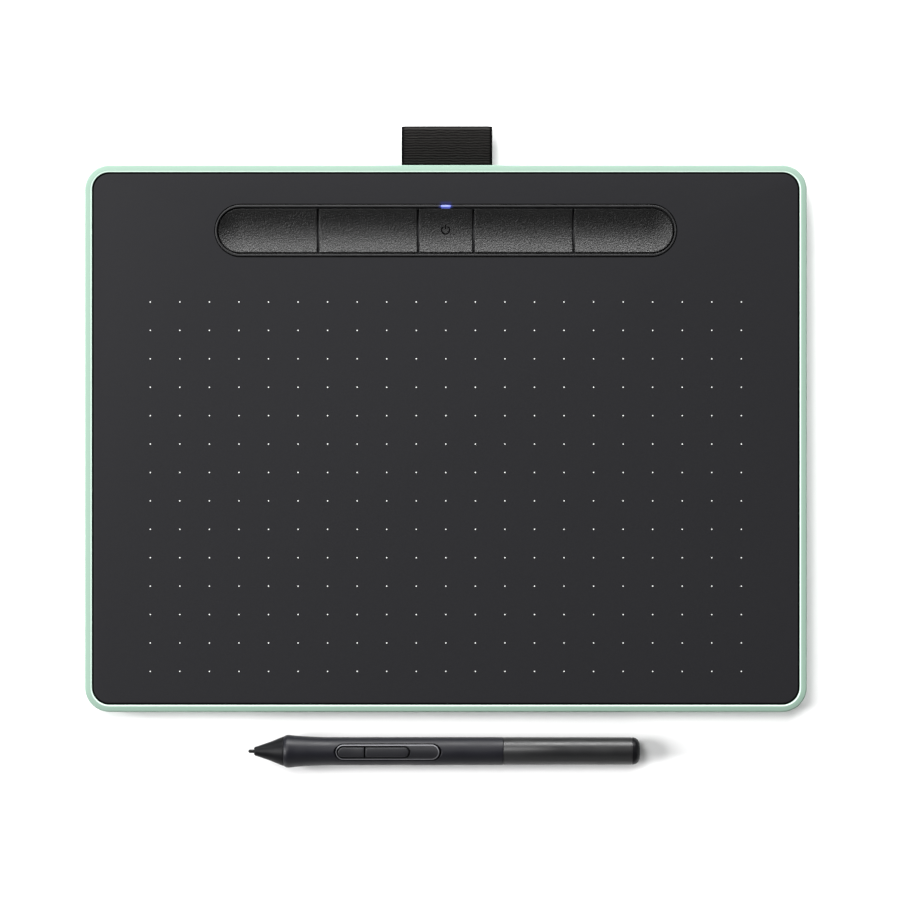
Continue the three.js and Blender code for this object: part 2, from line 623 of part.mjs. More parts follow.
// ---- The pen ----

// An upright pill-shaped bar through the pen, along its axis.
function penPill(start, length, width, bottom, top) {
  return prism(pill(length, width), bottom, top).translate([start + length / 2, 0, 0]);
}

function addNose() {
  const outer = turned([
    [NOSE.mouth, 0],
    [NOSE.mouth, PEN_RADIUS.mouth],
    [NOSE.lip, PEN_RADIUS.lip],
    [NOSE.neck, PEN_RADIUS.neck],
    [PEN.seam - SLACK / 2, PEN_RADIUS.seam - 0.06],
    [PEN.seam - SLACK / 2, NOSE_BORE.spigot],
    [NOSE_BORE.spigotEnd, NOSE_BORE.spigot],
    [NOSE_BORE.spigotEnd, 0],
  ]);
  const bores = [
    axle(NOSE_BORE.nib, 0, NOSE_BORE.start + PAST),
    axle(NOSE_BORE.radius, NOSE_BORE.start, NOSE_BORE.spigotEnd + PAST),
  ];
  add(pen, "nose_cone", cut(outer, ...bores), materials.penPlastic);
}

function addGrip() {
  const start = PEN.seam + SLACK / 2;
  const taper = [];
  const steps = 6;
  for (let i = 0; i <= steps; i++) {
    const share = i / steps;
    const radius = PEN_RADIUS.waist + (PEN.crestRadius - PEN_RADIUS.waist) * (1 - share) ** 2;
    taper.push([PEN.crest + share * PEN_TAPER, radius]);
  }
  const outer = turned([
    [start, 0],
    [start, PEN_RADIUS.seam],
    ...taper,
    [PEN.joint - SLACK / 2, PEN_RADIUS.joint],
    [PEN.joint - SLACK / 2, 0],
  ]);
  const bore = axle(GRIP_BORE, start - PAST, PEN.joint + PAST);
  const window = penPill(
    SWITCH_PILL.start - SLACK / 2, SWITCH_PILL.length + SLACK, SWITCH_PILL.width + SLACK,
    0, PEN.crestRadius,
  );
  add(pen, "grip_barrel", cut(outer, bore, window), materials.softGrip);
}

function addPenSwitch() {
  const switchEnd = SWITCH_PILL.start + SWITCH_PILL.length;
  const round = axle(SWITCH_PILL.radius, SWITCH_PILL.start - PAST, switchEnd + PAST, 48);
  const plate = penPill(
    SWITCH_PILL.start + SLACK / 2, SWITCH_PILL.length - SLACK, SWITCH_PILL.width - SLACK,
    PEN_LEVEL.bezelBottom, PEN.crestRadius,
  );
  const hole = penPill(
    BUTTON_PILL.start - SLACK, BUTTON_PILL.length + 2 * SLACK, BUTTON_PILL.width + 2 * SLACK,
    0, PEN.crestRadius + PAST,
  );
  add(pen, "switch_bezel", cut(plate.intersect(round), hole), materials.penPlastic);

  const body = penPill(
    BUTTON_PILL.start, BUTTON_PILL.length, BUTTON_PILL.width, PEN_LEVEL.buttonBottom, BUTTON_PILL.top,
  );
  const lip = penPill(
    BUTTON_PILL.start - BUTTON_LIP.along, BUTTON_PILL.length + 2 * BUTTON_LIP.along,
    BUTTON_PILL.width + 2 * BUTTON_LIP.across, PEN_LEVEL.buttonBottom, PEN_LEVEL.lipTop,
  );
  const both = join(body, lip);
  const halfGap = BUTTON_PILL.splitGap / 2;
  const ends = [
    ["front_button", 0, BUTTON_PILL.split - halfGap],
    ["rear_button", BUTTON_PILL.split + halfGap, PEN.joint],
  ];
  for (const [name, from, to] of ends) {
    const half = block(from, to, -PEN.crestRadius, PEN.crestRadius, 0, PEN.crestRadius);
    add(pen, name, both.intersect(half), materials.penPlastic);
  }
}

// What moves when the nib is pressed: the nib, and the rod behind it that bears on the sensor.
function addNibAndSensor() {
  const point = quarterRound(0, 0, NIB.radius, 4).map(([along, radius]) => [NIB.radius - along, radius]);
  const nib = turned([...point.reverse(), [NIB.length, NIB.radius], [NIB.length, 0]], 16);
  add(pen, "nib", nib, materials.nib);
  const rodStart = NIB.length + SLACK;
  const rodEnd = rodStart + NIB.rodLength;
  add(pen, "nib_rod", axle(NIB.rodRadius, rodStart, rodEnd, 16), materials.innerPlastic);
  const sensorStart = rodEnd + NIB.travel + NIB.stopGap;
  add(pen, "pressure_sensor", axle(CHASSIS.radius, sensorStart, CHASSIS.start - SLACK), materials.shield);
  const coilEnd = COIL.start + COIL.length;
  const core = axle(CORE.radius, COIL.start - CORE.pastFront, coilEnd + CORE.pastRear, 20);
  add(pen, "ferrite_core", cut(core, axle(CORE.bore, 0, CHASSIS.start, 20)), materials.ferrite);
  const coil = cut(axle(COIL.radius, COIL.start, coilEnd, 24), axle(COIL.bore, 0, CHASSIS.start, 24));
  add(pen, "pen_coil", coil, materials.copper);
}

// The carrier inside the grip: a deck for the board, a stub that the rear barrel fits, and three nib holes.
function addChassis() {
  const rod = axle(CHASSIS.radius, CHASSIS.start, CHASSIS.end);
  const deck = block(
    CHASSIS.deckStart, CHASSIS.deckEnd, -PEN_RADIUS.end, PEN_RADIUS.end,
    PEN_BOARD_LEVEL.bottom - SLACK, PEN_RADIUS.end,
  );
  const spareAngles = [0, 1, 2].map((i) => QUARTER + (i * 2 * Math.PI) / 3);
  const holes = spareAngles.map((angle) =>
    axle(SPARE.hole, SPARE.start - SLACK, CHASSIS.end + PAST, 16)
      .translate([0, SPARE.ring * Math.cos(angle), SPARE.ring * Math.sin(angle)]),
  );
  add(pen, "pen_chassis", cut(rod, deck, ...holes), materials.innerPlastic);
  spareAngles.forEach((angle, i) => {
    const spare = axle(SPARE.radius, SPARE.start, SPARE.start + SPARE.length, 12);
    const place = [0, SPARE.ring * Math.cos(angle), SPARE.ring * Math.sin(angle)];
    add(pen, `spare_nib_${i + 1}`, spare.translate(place), materials.nib);
  });
  const board = block(
    PEN_BOARD.start, PEN_BOARD.end, -PEN_BOARD.width / 2, PEN_BOARD.width / 2,
    PEN_BOARD_LEVEL.bottom, PEN_BOARD_LEVEL.top,
  );
  add(pen, "pen_board", board, materials.board);
  const switchPlaces = { pen_switch_front: PEN_SWITCH.front, pen_switch_rear: PEN_SWITCH.rear };
  const [halfLength, halfWidth] = [PEN_SWITCH.length / 2, PEN_SWITCH.width / 2];
  const bottom = PEN_BOARD_LEVEL.top + SLACK;
  const top = PEN_LEVEL.switchTop - PEN_SWITCH.nubHeight;
  for (const [name, along] of Object.entries(switchPlaces)) {
    const body = block(along - halfLength, along + halfLength, -halfWidth, halfWidth, bottom, top);
    const nub = post(PEN_SWITCH.nub, bottom + ROOT, PEN_LEVEL.switchTop, along, 0, 16);
    add(pen, name, join(body, nub), materials.steel);
  }
}

function addRearBarrel() {
  const start = PEN.joint + SLACK / 2;
  const filletStart = PEN.length - PEN.endFillet;
  const fillet = quarterRound(filletStart, PEN_RADIUS.end - PEN.endFillet, PEN.endFillet, 5);
  const outer = turned([
    [start, 0],
    [start, PEN_RADIUS.joint],
    ...fillet,
    [PEN.length, 0],
  ]);
  add(pen, "rear_barrel", cut(outer, axle(REAR.bore, start - PAST, REAR.boreEnd)), materials.penPlastic);
}

// ---- Assembly ----

addCase();
addSurface();
addKeys();
addBezel();
addRetainer();
addStatusLight();
addMainBoard();
addSocket();
addSensor();
addCell();
addFeetAndScrews();
addLoop();

addNose();
addGrip();
addPenSwitch();
addNibAndSensor();
addChassis();
addRearBarrel();

// The pen lies on its crest and on its rear end, so it leans down a little towards the rear.
const lean = Math.atan(
  (PEN.crestRadius - PEN_RADIUS.end) / (PEN.length - PEN.endFillet - PEN.crest),
);
const penY = -rearEdge - PEN_PLACE.inFront;
pen.rotation.y = lean;
pen.position.set(
  PEN_PLACE.tipX, penY, PEN.crest * Math.sin(lean) + PEN.crestRadius * Math.cos(lean),
);

const whole = new THREE.Group();
whole.add(tablet, pen);
const footprintRear = rearEdge + LOOP.out;
const footprintFront = penY - PEN.crestRadius;
whole.position.y = -(footprintRear + footprintFront) / 2;

const root = new THREE.Group();
root.add(whole);

export default root;
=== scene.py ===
"""The looks of a pen drawing tablet and its pen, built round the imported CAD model.

Lengths in the dimension blocks are in millimetres, and meshes are made in metres.
+X is to the right, +Y away from the user and +Z up, with the desk at z = 0.
"""

import json
import math

import bmesh
import bpy
from mathutils import Matrix, Vector


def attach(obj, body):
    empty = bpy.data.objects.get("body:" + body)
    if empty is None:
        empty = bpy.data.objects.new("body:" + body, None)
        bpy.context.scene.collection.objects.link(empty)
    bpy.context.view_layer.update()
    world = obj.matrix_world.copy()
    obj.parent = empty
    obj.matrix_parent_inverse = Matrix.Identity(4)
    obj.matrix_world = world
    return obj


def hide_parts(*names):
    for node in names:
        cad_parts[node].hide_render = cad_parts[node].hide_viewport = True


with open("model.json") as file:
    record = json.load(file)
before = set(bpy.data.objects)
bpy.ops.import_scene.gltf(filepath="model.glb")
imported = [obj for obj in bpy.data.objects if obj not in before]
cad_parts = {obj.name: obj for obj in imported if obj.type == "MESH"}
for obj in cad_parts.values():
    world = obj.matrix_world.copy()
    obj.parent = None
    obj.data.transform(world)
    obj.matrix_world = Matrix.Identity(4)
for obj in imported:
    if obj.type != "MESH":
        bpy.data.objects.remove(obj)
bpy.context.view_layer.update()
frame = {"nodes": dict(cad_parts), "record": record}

MM = 0.001
scene = bpy.context.scene

# ---- Camera, light and floor ----

FRAME_WIDTH = 328.9  # what the photograph takes in, at the height of the drawing surface
FRAME_CENTRE = (1.53, -1.15)
SURFACE_TOP = 8.6
LENS = 135.0
SENSOR = 36.0

camera_data = bpy.data.cameras.new("camera")
camera_data.lens = LENS
camera_data.sensor_width = SENSOR
camera = bpy.data.objects.new("camera", camera_data)
scene.collection.objects.link(camera)
distance = FRAME_WIDTH * LENS / SENSOR
camera.location = Vector((*FRAME_CENTRE, distance + SURFACE_TOP)) * MM
camera_data.clip_start = 0.01
camera_data.clip_end = 20
scene.camera = camera


def area_light(name, place, size, power):
    """A rectangular lamp that faces the origin."""
    data = bpy.data.lights.new(name, "AREA")
    data.shape = "RECTANGLE"
    data.size, data.size_y = size
    data.energy = power
    light = bpy.data.objects.new(name, data)
    scene.collection.objects.link(light)
    light.location = place
    light.rotation_mode = "QUATERNION"
    light.rotation_quaternion = (-Vector(place)).to_track_quat("-Z", "Y")


LIGHT_DISTANCE = 2.0  # metres from the origin
# Each light's angle from the vertical and the direction it comes from, anticlockwise from +X (both in
# degrees), its sides in metres and its power in watts.
LIGHTS = {
    "main_light": (28, 135, (0.8, 0.8), 21.7),
    "left_light": (58, 180, (0.8, 0.8), 51.4),
    "back_strip": (68, 90, (2.4, 0.5), 107.8),
    "right_light": (68, 0, (0.8, 0.8), 4.9),
    "front_strip": (48, 270, (2.4, 0.5), 2.4),
    "low_front_strip": (68, 270, (2.4, 0.5), 4.3),
}
for light_name, (tilt, turn, sides, power) in LIGHTS.items():
    tilt, turn = math.radians(tilt), math.radians(turn)
    reach = LIGHT_DISTANCE * math.sin(tilt)
    place = (reach * math.cos(turn), reach * math.sin(turn), LIGHT_DISTANCE * math.cos(tilt))
    area_light(light_name, place, sides, power)

world = bpy.data.worlds.new("studio")
world.use_nodes = True
background = world.node_tree.nodes["Background"]
background.inputs["Color"].default_value = (0.98, 0.99, 1.0, 1)
background.inputs["Strength"].default_value = 0.08
scene.world = world
scene.view_settings.view_transform = "Standard"
scene.view_settings.look = "None"

# ---- Material helpers ----


def linear(red, green, blue):
    """A colour given as 0 to 255 in sRGB, as linear light."""
    out = []
    for value in (red, green, blue):
        share = value / 255
        out.append(share / 12.92 if share <= 0.04045 else ((share + 0.055) / 1.055) ** 2.4)
    return (*out, 1.0)


class Nodes:
    """A material's node tree, with short calls for the nodes used here."""

    def __init__(self, name):
        self.material = bpy.data.materials.new(name)
        self.material.use_nodes = True
        self.tree = self.material.node_tree
        self.shader = self.tree.nodes["Principled BSDF"]
        self.place = self.add("ShaderNodeTexCoord").outputs["Object"]

    def add(self, kind, **settings):
        node = self.tree.nodes.new(kind)
        for key, value in settings.items():
            setattr(node, key, value)
        return node

    def feed(self, socket, value):
        if isinstance(value, bpy.types.NodeSocket):
            self.tree.links.new(value, socket)
        else:
            socket.default_value = value

    def math(self, operation, *values):
        node = self.add("ShaderNodeMath", operation=operation)
        for socket, value in zip(node.inputs, values):
            self.feed(socket, value)
        return node.outputs[0]

    def product(self, first, *others):
        for value in others:
            first = self.math("MULTIPLY", first, value)
        return first

    def axes(self, vector=None):
        node = self.add("ShaderNodeSeparateXYZ")
        self.feed(node.inputs[0], self.place if vector is None else vector)
        return node.outputs

    def stretch(self, scale):
        node = self.add("ShaderNodeMapping")
        self.feed(node.inputs["Vector"], self.place)
        node.inputs["Scale"].default_value = scale
        return node.outputs[0]

    def noise(self, size, detail=2.0, roughness=0.5, vector=None):
        """Noise with features about size millimetres across."""
        node = self.add("ShaderNodeTexNoise")
        self.feed(node.inputs["Vector"], self.place if vector is None else vector)
        node.inputs["Scale"].default_value = 1 / (size * MM)
        node.inputs["Detail"].default_value = detail
        node.inputs["Roughness"].default_value = roughness
        return node.outputs["Fac"]

    def cells(self, size):
        """The distance to the middle of a cell, with cells about size millimetres across."""
        node = self.add("ShaderNodeTexVoronoi")
        self.feed(node.inputs["Vector"], self.place)
        node.inputs["Scale"].default_value = 1 / (size * MM)
        return node.outputs["Distance"]

    def fit(self, value, low, high, to_low=0.0, to_high=1.0):
        """A smooth step from to_low to to_high, as value goes from low to high."""
        node = self.add("ShaderNodeMapRange", interpolation_type="SMOOTHSTEP")
        self.feed(node.inputs["Value"], value)
        for key, number in zip(("From Min", "From Max", "To Min", "To Max"), (low, high, to_low, to_high)):
            node.inputs[key].default_value = number
        return node.outputs["Result"]

    def mix(self, share, a, b):
        node = self.add("ShaderNodeMix", data_type="RGBA")
        self.feed(node.inputs["Factor"], share)
        self.feed(node.inputs["A"], a)
        self.feed(node.inputs["B"], b)
        return node.outputs["Result"]

    def bump(self, height, depth):
        """A bump of about depth millimetres where height goes from 0 to 1."""
        node = self.add("ShaderNodeBump")
        node.inputs["Strength"].default_value = 1.0
        node.inputs["Distance"].default_value = depth * MM
        self.feed(node.inputs["Height"], height)
        return node.outputs[0]

    def set(self, **values):
        """Feeds the shader's sockets, each named with _ for its spaces."""
        for key, value in values.items():
            self.feed(self.shader.inputs[key.replace("_", " ")], value)


def shade(colour, factor):
    """A colour made darker or lighter."""
    return (*(channel * factor for channel in colour[:3]), 1.0)


def moulded_plastic(name, colour, roughness, grain, depth, mottling=0.08, coarse=6, specular=0.5):
    """Plastic with a moulded grain, faint mottling, and patches that are a little smoother from handling.

    grain is the size of the moulded texture and depth its height. coarse is the size of the patches.
    """
    n = Nodes(name)
    patches = n.noise(coarse * 3, 3.0)
    tone = n.mix(patches, shade(colour, 1 - mottling), shade(colour, 1 + mottling))
    fine = n.noise(grain, 3.0, 0.6)
    contrast = mottling * 1.6
    speck = n.mix(n.fit(fine, 0.3, 0.7), shade(colour, 1 - contrast), shade(colour, 1 + contrast))
    n.set(
        Base_Color=n.mix(0.5, tone, speck),
        Roughness=n.fit(n.noise(coarse, 4.0), 0.25, 0.75, roughness - 0.05, roughness + 0.05),
        Specular_IOR_Level=specular,
        Normal=n.bump(fine, depth),
    )
    return n.material


def metal(name, colour, roughness, brushed=(1, 1, 1)):
    """Metal with fine marks, closest together along the axis with the largest of the brushed values."""
    n = Nodes(name)
    lines = n.noise(0.25, 4.0, 0.6, n.stretch(brushed))
    n.set(
        Base_Color=n.mix(n.noise(1.5, 3.0), shade(colour, 0.85), shade(colour, 1.1)),
        Metallic=1.0,
        Roughness=n.fit(lines, 0.2, 0.8, roughness - 0.06, roughness + 0.1),
        Normal=n.bump(lines, 0.004),
    )
    return n.material


def circuit_board(name, colour):
    """Solder mask with fine copper tracks showing under it and small pads."""
    n = Nodes(name)
    x, y, _ = n.axes()
    pitch = 1.4 * MM
    warp = n.product(n.fit(n.noise(9, 0.0), 0.35, 0.65), 2 * pitch)
    lane = n.math("PINGPONG", n.math("ADD", y, warp), pitch / 2)
    track = n.fit(lane, 0.12 * MM, 0.2 * MM, 1.0, 0.0)
    groups = n.fit(n.noise(16, 0.0), 0.48, 0.52)
    pads = n.fit(n.cells(2.6), 0.13, 0.17, 1.0, 0.0)
    tracks = n.mix(n.product(track, groups), colour, shade(colour, 2.1))
    n.set(
        Base_Color=n.mix(pads, tracks, linear(196, 190, 170)),
        Roughness=n.fit(pads, 0, 1, 0.38, 0.3),
        Metallic=pads,
        Normal=n.bump(n.math("ADD", track, pads), 0.03),
    )
    return n.material


# ---- Mesh helpers ----


def make_object(name, points, faces, sharp=32.0):
    """A mesh object from points in millimetres."""
    mesh = bpy.data.meshes.new(name)
    mesh.from_pydata([Vector(p) * MM for p in points], [], faces)
    body = bpy.data.objects.new(name, mesh)
    scene.collection.objects.link(body)
    return tidy_mesh(body, sharp)


def tidy_mesh(body, sharp=32.0):
    """Merges doubled points, turns all faces outwards, and smooths all but the sharp edges."""
    work = bmesh.new()
    work.from_mesh(body.data)
    bmesh.ops.remove_doubles(work, verts=work.verts, dist=1e-7)
    bmesh.ops.dissolve_degenerate(work, edges=work.edges, dist=1e-7)
    bmesh.ops.recalc_face_normals(work, faces=work.faces)
    work.to_mesh(body.data)
    work.free()
    body.data.shade_smooth()
    body.data.set_sharp_from_angle(angle=math.radians(sharp))
    return body


def rounded_ring(half_x, half_y, radius, z, steps=16, centre=(0, 0)):
    """Points round a rounded rectangle, anticlockwise."""
    radius = max(min(radius, half_x, half_y), 0.01)
    points = []
    for i, (sx, sy) in enumerate(((1, 1), (-1, 1), (-1, -1), (1, -1))):
        cx = centre[0] + sx * (half_x - radius)
        cy = centre[1] + sy * (half_y - radius)
        for k in range(steps + 1):
            angle = (i + k / steps) * math.pi / 2
            points.append((cx + radius * math.cos(angle), cy + radius * math.sin(angle), z))
    return points


def loft(name, rings, closed=False, sharp=32.0):
    """Skins rings of equal length. It caps its ends, or when closed joins its last ring to its first."""
    count = len(rings[0])
    points = [p for one in rings for p in one]
    faces = []
    pairs = len(rings) if closed else len(rings) - 1
    for i in range(pairs):
        a, b = i * count, ((i + 1) % len(rings)) * count
        for k in range(count):
            m = (k + 1) % count
            faces.append((a + k, a + m, b + m, b + k))
    if not closed:
        faces.append(tuple(range(count))[::-1])
        faces.append(tuple(range((len(rings) - 1) * count, len(rings) * count)))
    return make_object(name, points, faces, sharp)


def quarter(start, end, bulge, steps):
    """Points on a quarter ellipse from start to end; bulge says which coordinate changes first, 0 or 1."""
    points = []
    for i in range(steps + 1):
        angle = i / steps * math.pi / 2
        first, last = math.sin(angle), 1 - math.cos(angle)
        share = (first, last) if bulge == 0 else (last, first)
        points.append(tuple(s + (e - s) * f for s, e, f in zip(start, end, share)))
    return points


def pill_ring(half_x, half_y, z, centre=(0, 0), steps=16):
    """Points round a pill shape."""
    return rounded_ring(half_x, half_y, min(half_x, half_y), z, steps, centre)


def carve(body, *tools, sharp=32.0):
    """Cuts tools out of body, and removes them."""
    for tool in tools:
        modifier = body.modifiers.new("cut", "BOOLEAN")
        modifier.operation = "DIFFERENCE"
        modifier.solver = "EXACT"
        modifier.object = tool
    graph = bpy.context.evaluated_depsgraph_get()
    mesh = bpy.data.meshes.new_from_object(body.evaluated_get(graph))
    body.modifiers.clear()
    body.data = mesh
    for tool in tools:
        bpy.data.objects.remove(tool)
    return tidy_mesh(body, sharp)


def pill_tool(name, half_x, half_y, bottom, top, centre, flare=0.0, flare_depth=0.0, steps=16):
    """A pill-shaped cutter. Its mouth, at the end given by the sign of flare, widens to leave a chamfer."""
    levels = [(bottom, 0.0), (top, 0.0)]
    if flare > 0:
        levels = [(bottom, 0.0), (top - flare_depth, 0.0), (top, flare)]
    if flare < 0:
        levels = [(bottom, -flare), (bottom + flare_depth, 0.0), (top, 0.0)]
    return loft(name, [pill_ring(half_x + grow, half_y + grow, z, centre, steps) for z, grow in levels])


def dress(body, material, slot, rides_on, *stands_for):
    """Gives a piece its material and its place among the CAD bodies."""
    body.data.materials.clear()
    body.data.materials.append(material)
    if stands_for:
        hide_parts(*stands_for)
    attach(body, rides_on)


def mark_faces(body, material, wanted):
    """Gives the faces that wanted picks a material of their own."""
    body.data.materials.append(material)
    for face in body.data.polygons:
        if wanted(face):
            face.material_index = 1


# ---- Dimensions, in the frame of the CAD model ----
# A pair is a half-length along X and a half-width along Y, unless its comment says otherwise.

SHIFT = 3.05  # the tablet's own centre, along Y
HALF = (132.0, 100.0)
CORNER = 9.0
CASE_BOTTOM = 0.8
RIM_TOP = 8.8
RIM_HIGHLIGHT_START = 2.0  # how far in from the outline the painted highlight on the rim's inner edge starts

BAR_Y = 76.0 + SHIFT
BAR_HALF = (83.22, 8.05)
RING_IN = (83.68, 8.55)
RING_OUT = (84.3, 9.4)
RING_TOP = 8.8
LIGHT_Y = BAR_Y + 8.975
LIGHT_HALF = (1.85, 0.35)
LIGHT_TOP = 8.75

KEY_TOP = 8.45
KEY_BOTTOM = 5.9
KEY_GAP = 0.74
KEY_SPLITS = (-46.7, -10.13, 10.13, 46.7)
TROUGH = 2.1
END_EASE = 0.7  # how fast the trough rises along the bar at its round ends, against across it
SYMBOL = {"x": -0.1, "y": BAR_Y + 0.3, "floor": 6.05, "radius": 1.45, "line": 0.52, "opening": 0.6}

GRID = {
    "left": -108.0, "front": -85.1 + SHIFT, "columns": 21, "rows": 14, "pitch_x": 10.8, "pitch_y": 135 / 13,
}
DOT_RADIUS = 0.2
DOT_BLUR = 0.07

FOOT_HALF = (9.0, 4.0)
FOOT_GAP = 0.15
FEET = [(sx * 116.5, sy * 86.0 + SHIFT) for sy in (-1, 1) for sx in (-1, 1)]
FOOT_NAMES = ("front_left", "front_right", "rear_left", "rear_right")
PORT = (-132.0, 73.35 + SHIFT, 4.75)  # a point, on the left side of the case
PORT_HALF = (5.2, 2.2)  # along Y and up

LOOP = {
    "x": 0.4, "z": 4.6, "half_width": 16.6, "half_height": 3.2, "out": 14.3, "turn": 1.5, "thick": 0.75,
    "tail": 7.0,
}
RIB = {"pitch": 0.93, "height": 0.16}

# ---- Materials ----

# Each plastic: name, colour, roughness, size and depth of its grain, mottling, patch size and reflectance.
green = moulded_plastic("green_case", linear(127, 150, 137), 0.65, 0.35, 0.012, 0.02, 10, 0.1)
# A lighter green for the chamfer at the rim's inner edge: a painted highlight.
green_painted_highlight = moulded_plastic("green_painted_highlight", linear(186, 208, 196), 0.5, 0.35, 0.004, 0.01, 10, 0.3)
# Near-black painted shade for the groove round the drawing surface and for the power symbol's recess.
painted_shade_black = moulded_plastic("surface_painted_shade", linear(4, 4, 5), 0.6, 0.3, 0.004, 0.1, 6, 0.04)
rubber = moulded_plastic("rubber", linear(40, 40, 42), 0.85, 0.22, 0.03, 0.15, 3, 0.3)
inner_black = moulded_plastic("inner_plastic", linear(34, 34, 37), 0.6, 0.3, 0.02, 0.1)
steel = metal("steel", linear(190, 190, 193), 0.28)
shield_metal = metal("shield", linear(165, 166, 170), 0.36, (1, 12, 1))
board_mask = circuit_board("board", linear(22, 84, 52))
chip = moulded_plastic("chip", linear(30, 30, 32), 0.5, 0.12, 0.01)


def surface_material():
    """The drawing surface: a fine paper-like tooth, with the printed dots that mark the active area."""
    n = Nodes("surface")
    x, y, _ = n.axes()
    tooth = n.noise(0.28, 4.0, 0.65)
    broad = n.noise(55, 2.0)
    base = linear(29, 29, 31)
    dark = n.mix(n.fit(tooth, 0.25, 0.75), shade(base, 0.8), shade(base, 1.2))
    toned = n.mix(broad, shade(base, 0.94), shade(base, 1.06))
    plain = n.mix(0.35, dark, toned)

    def offset(value, start, pitch):
        """How far a place is from the nearest line of dots, in millimetres."""
        steps = n.math("DIVIDE", n.math("SUBTRACT", value, start * MM), pitch * MM)
        return n.product(n.math("WRAP", steps, 0.5, -0.5), pitch)

    dx = offset(x, GRID["left"], GRID["pitch_x"])
    dy = offset(y, GRID["front"], GRID["pitch_y"])
    away = n.math("SQRT", n.math("ADD", n.product(dx, dx), n.product(dy, dy)))
    dot = n.fit(away, DOT_RADIUS, DOT_RADIUS + DOT_BLUR, 1.0, 0.0)
    # Dots only as far as half a pitch past the outermost ones.
    half_columns, last_row = GRID["columns"] / 2, GRID["rows"] - 0.5
    inside_x = n.math("LESS_THAN", n.math("ABSOLUTE", x), half_columns * GRID["pitch_x"] * MM)
    behind_front = n.math("GREATER_THAN", y, (GRID["front"] - GRID["pitch_y"] / 2) * MM)
    before_rear = n.math("LESS_THAN", y, (GRID["front"] + last_row * GRID["pitch_y"]) * MM)
    printed = n.product(dot, inside_x, behind_front, before_rear)
    # The status light shines a little on the surface behind it.
    glow_x = n.fit(n.math("ABSOLUTE", x), 1.4 * MM, 2.6 * MM, 1.0, 0.0)
    glow_y = n.fit(y, (LIGHT_Y + 0.3) * MM, (LIGHT_Y + 2.2) * MM, 1.0, 0.0)
    glow = n.product(glow_x, glow_y, n.math("GREATER_THAN", y, LIGHT_Y * MM))
    n.set(
        Base_Color=n.mix(printed, plain, linear(205, 206, 204)),
        Roughness=n.fit(tooth, 0.2, 0.8, 0.46, 0.58),
        Specular_IOR_Level=0.085,
        Normal=n.bump(tooth, 0.02),
        Emission_Color=(0.05, 0.09, 1.0, 1.0),
        Emission_Strength=n.product(glow, 0.16),
    )
    return n.material


def key_material():
    """The keys: a coarse, sparkling grain."""
    n = Nodes("key")
    grain = n.noise(0.6, 3.0, 0.65)
    base = linear(4, 4, 4)
    n.set(
        Base_Color=n.mix(n.fit(grain, 0.35, 0.65), shade(base, 0.6), shade(base, 1.5)),
        Roughness=n.fit(grain, 0.25, 0.75, 0.33, 0.46),
        Specular_IOR_Level=0.37,
        Normal=n.bump(grain, 0.26),
    )
    return n.material


def bezel_material():
    """The ring round the keys. A little of the status light bleeds into it."""
    n = Nodes("bezel")
    x, y, _ = n.axes()
    base = linear(22, 22, 23)
    fine = n.noise(0.3, 3.0)
    beside = n.fit(n.math("ABSOLUTE", x), 1.7 * MM, 3.4 * MM, 1.0, 0.0)
    rear_side = n.math("GREATER_THAN", y, (LIGHT_Y - 2) * MM)
    n.set(
        Base_Color=n.mix(fine, shade(base, 0.88), shade(base, 1.12)),
        Roughness=n.fit(fine, 0.2, 0.8, 0.4, 0.52),
        Specular_IOR_Level=0.3,
        Normal=n.bump(fine, 0.012),
        Emission_Color=(0.12, 0.18, 1.0, 1.0),
        Emission_Strength=n.product(beside, beside, rear_side, 0.22),
    )
    return n.material


def light_material():
    """The end of the light guide: white in the middle, bluer at its edges."""
    n = Nodes("light_guide")
    x, y, _ = n.axes()
    away_x = n.fit(n.math("ABSOLUTE", x), 0.6 * MM, 1.9 * MM)
    away_y = n.fit(n.math("ABSOLUTE", n.math("SUBTRACT", y, LIGHT_Y * MM)), 0.1 * MM, 0.36 * MM)
    away = n.math("MAXIMUM", away_x, away_y)
    n.set(
        Base_Color=linear(90, 95, 160),
        Roughness=n.fit(n.noise(0.3), 0.3, 0.7, 0.2, 0.3),
        Emission_Color=n.mix(away, linear(168, 182, 242), linear(110, 124, 222)),
        Emission_Strength=n.fit(away, 0, 1, 0.85, 0.7),
    )
    return n.material


surface = surface_material()
key_plastic = key_material()
bezel = bezel_material()
lit = light_material()

# ---- The case ----


def case_ring(inset, z):
    """The outline of the case, this far in from its widest."""
    return rounded_ring(HALF[0] - inset, HALF[1] - inset, CORNER - inset, z, 20, (0, SHIFT))


def case_inset(x, y):
    """How far a place is from the outline of the case, inwards."""
    across = abs(x) - (HALF[0] - CORNER)
    along = abs(y - SHIFT) - (HALF[1] - CORNER)
    if across > 0 and along > 0:
        return CORNER - math.hypot(across, along)
    return CORNER - max(across, along)


def port_opening():
    """The cutter for the cable opening: a rounded slot through the left side, with a flared mouth."""
    side, py, pz = PORT
    rings = []
    for depth, grow in ((-1.0, 1.4), (0.25, 0.15), (0.7, 0.0), (5.0, 0.0)):
        ring = rounded_ring(PORT_HALF[0] + grow, PORT_HALF[1] + grow * 0.6, 0.8 + grow * 0.6, 0, 10)
        rings.append([(side + depth, py + u, pz + v) for u, v, _ in ring])
    return loft("port_tool", rings)


def loop_opening():
    """The cutter for the slot in the rear side that the ribbon comes out of."""
    half_width = LOOP["half_width"] + 0.45
    rings = []
    for depth, grow in ((6.0, 0.0), (0.6, 0.0), (0.1, 0.12), (-1.0, 1.2)):
        ring = rounded_ring(half_width + grow, 1.1 + grow, 0.5, 0, 6)
        y = HALF[1] - depth + SHIFT
        rings.append([(LOOP["x"] + u, y, LOOP["z"] + v) for u, v, _ in ring])
    return loft("loop_tool", rings)


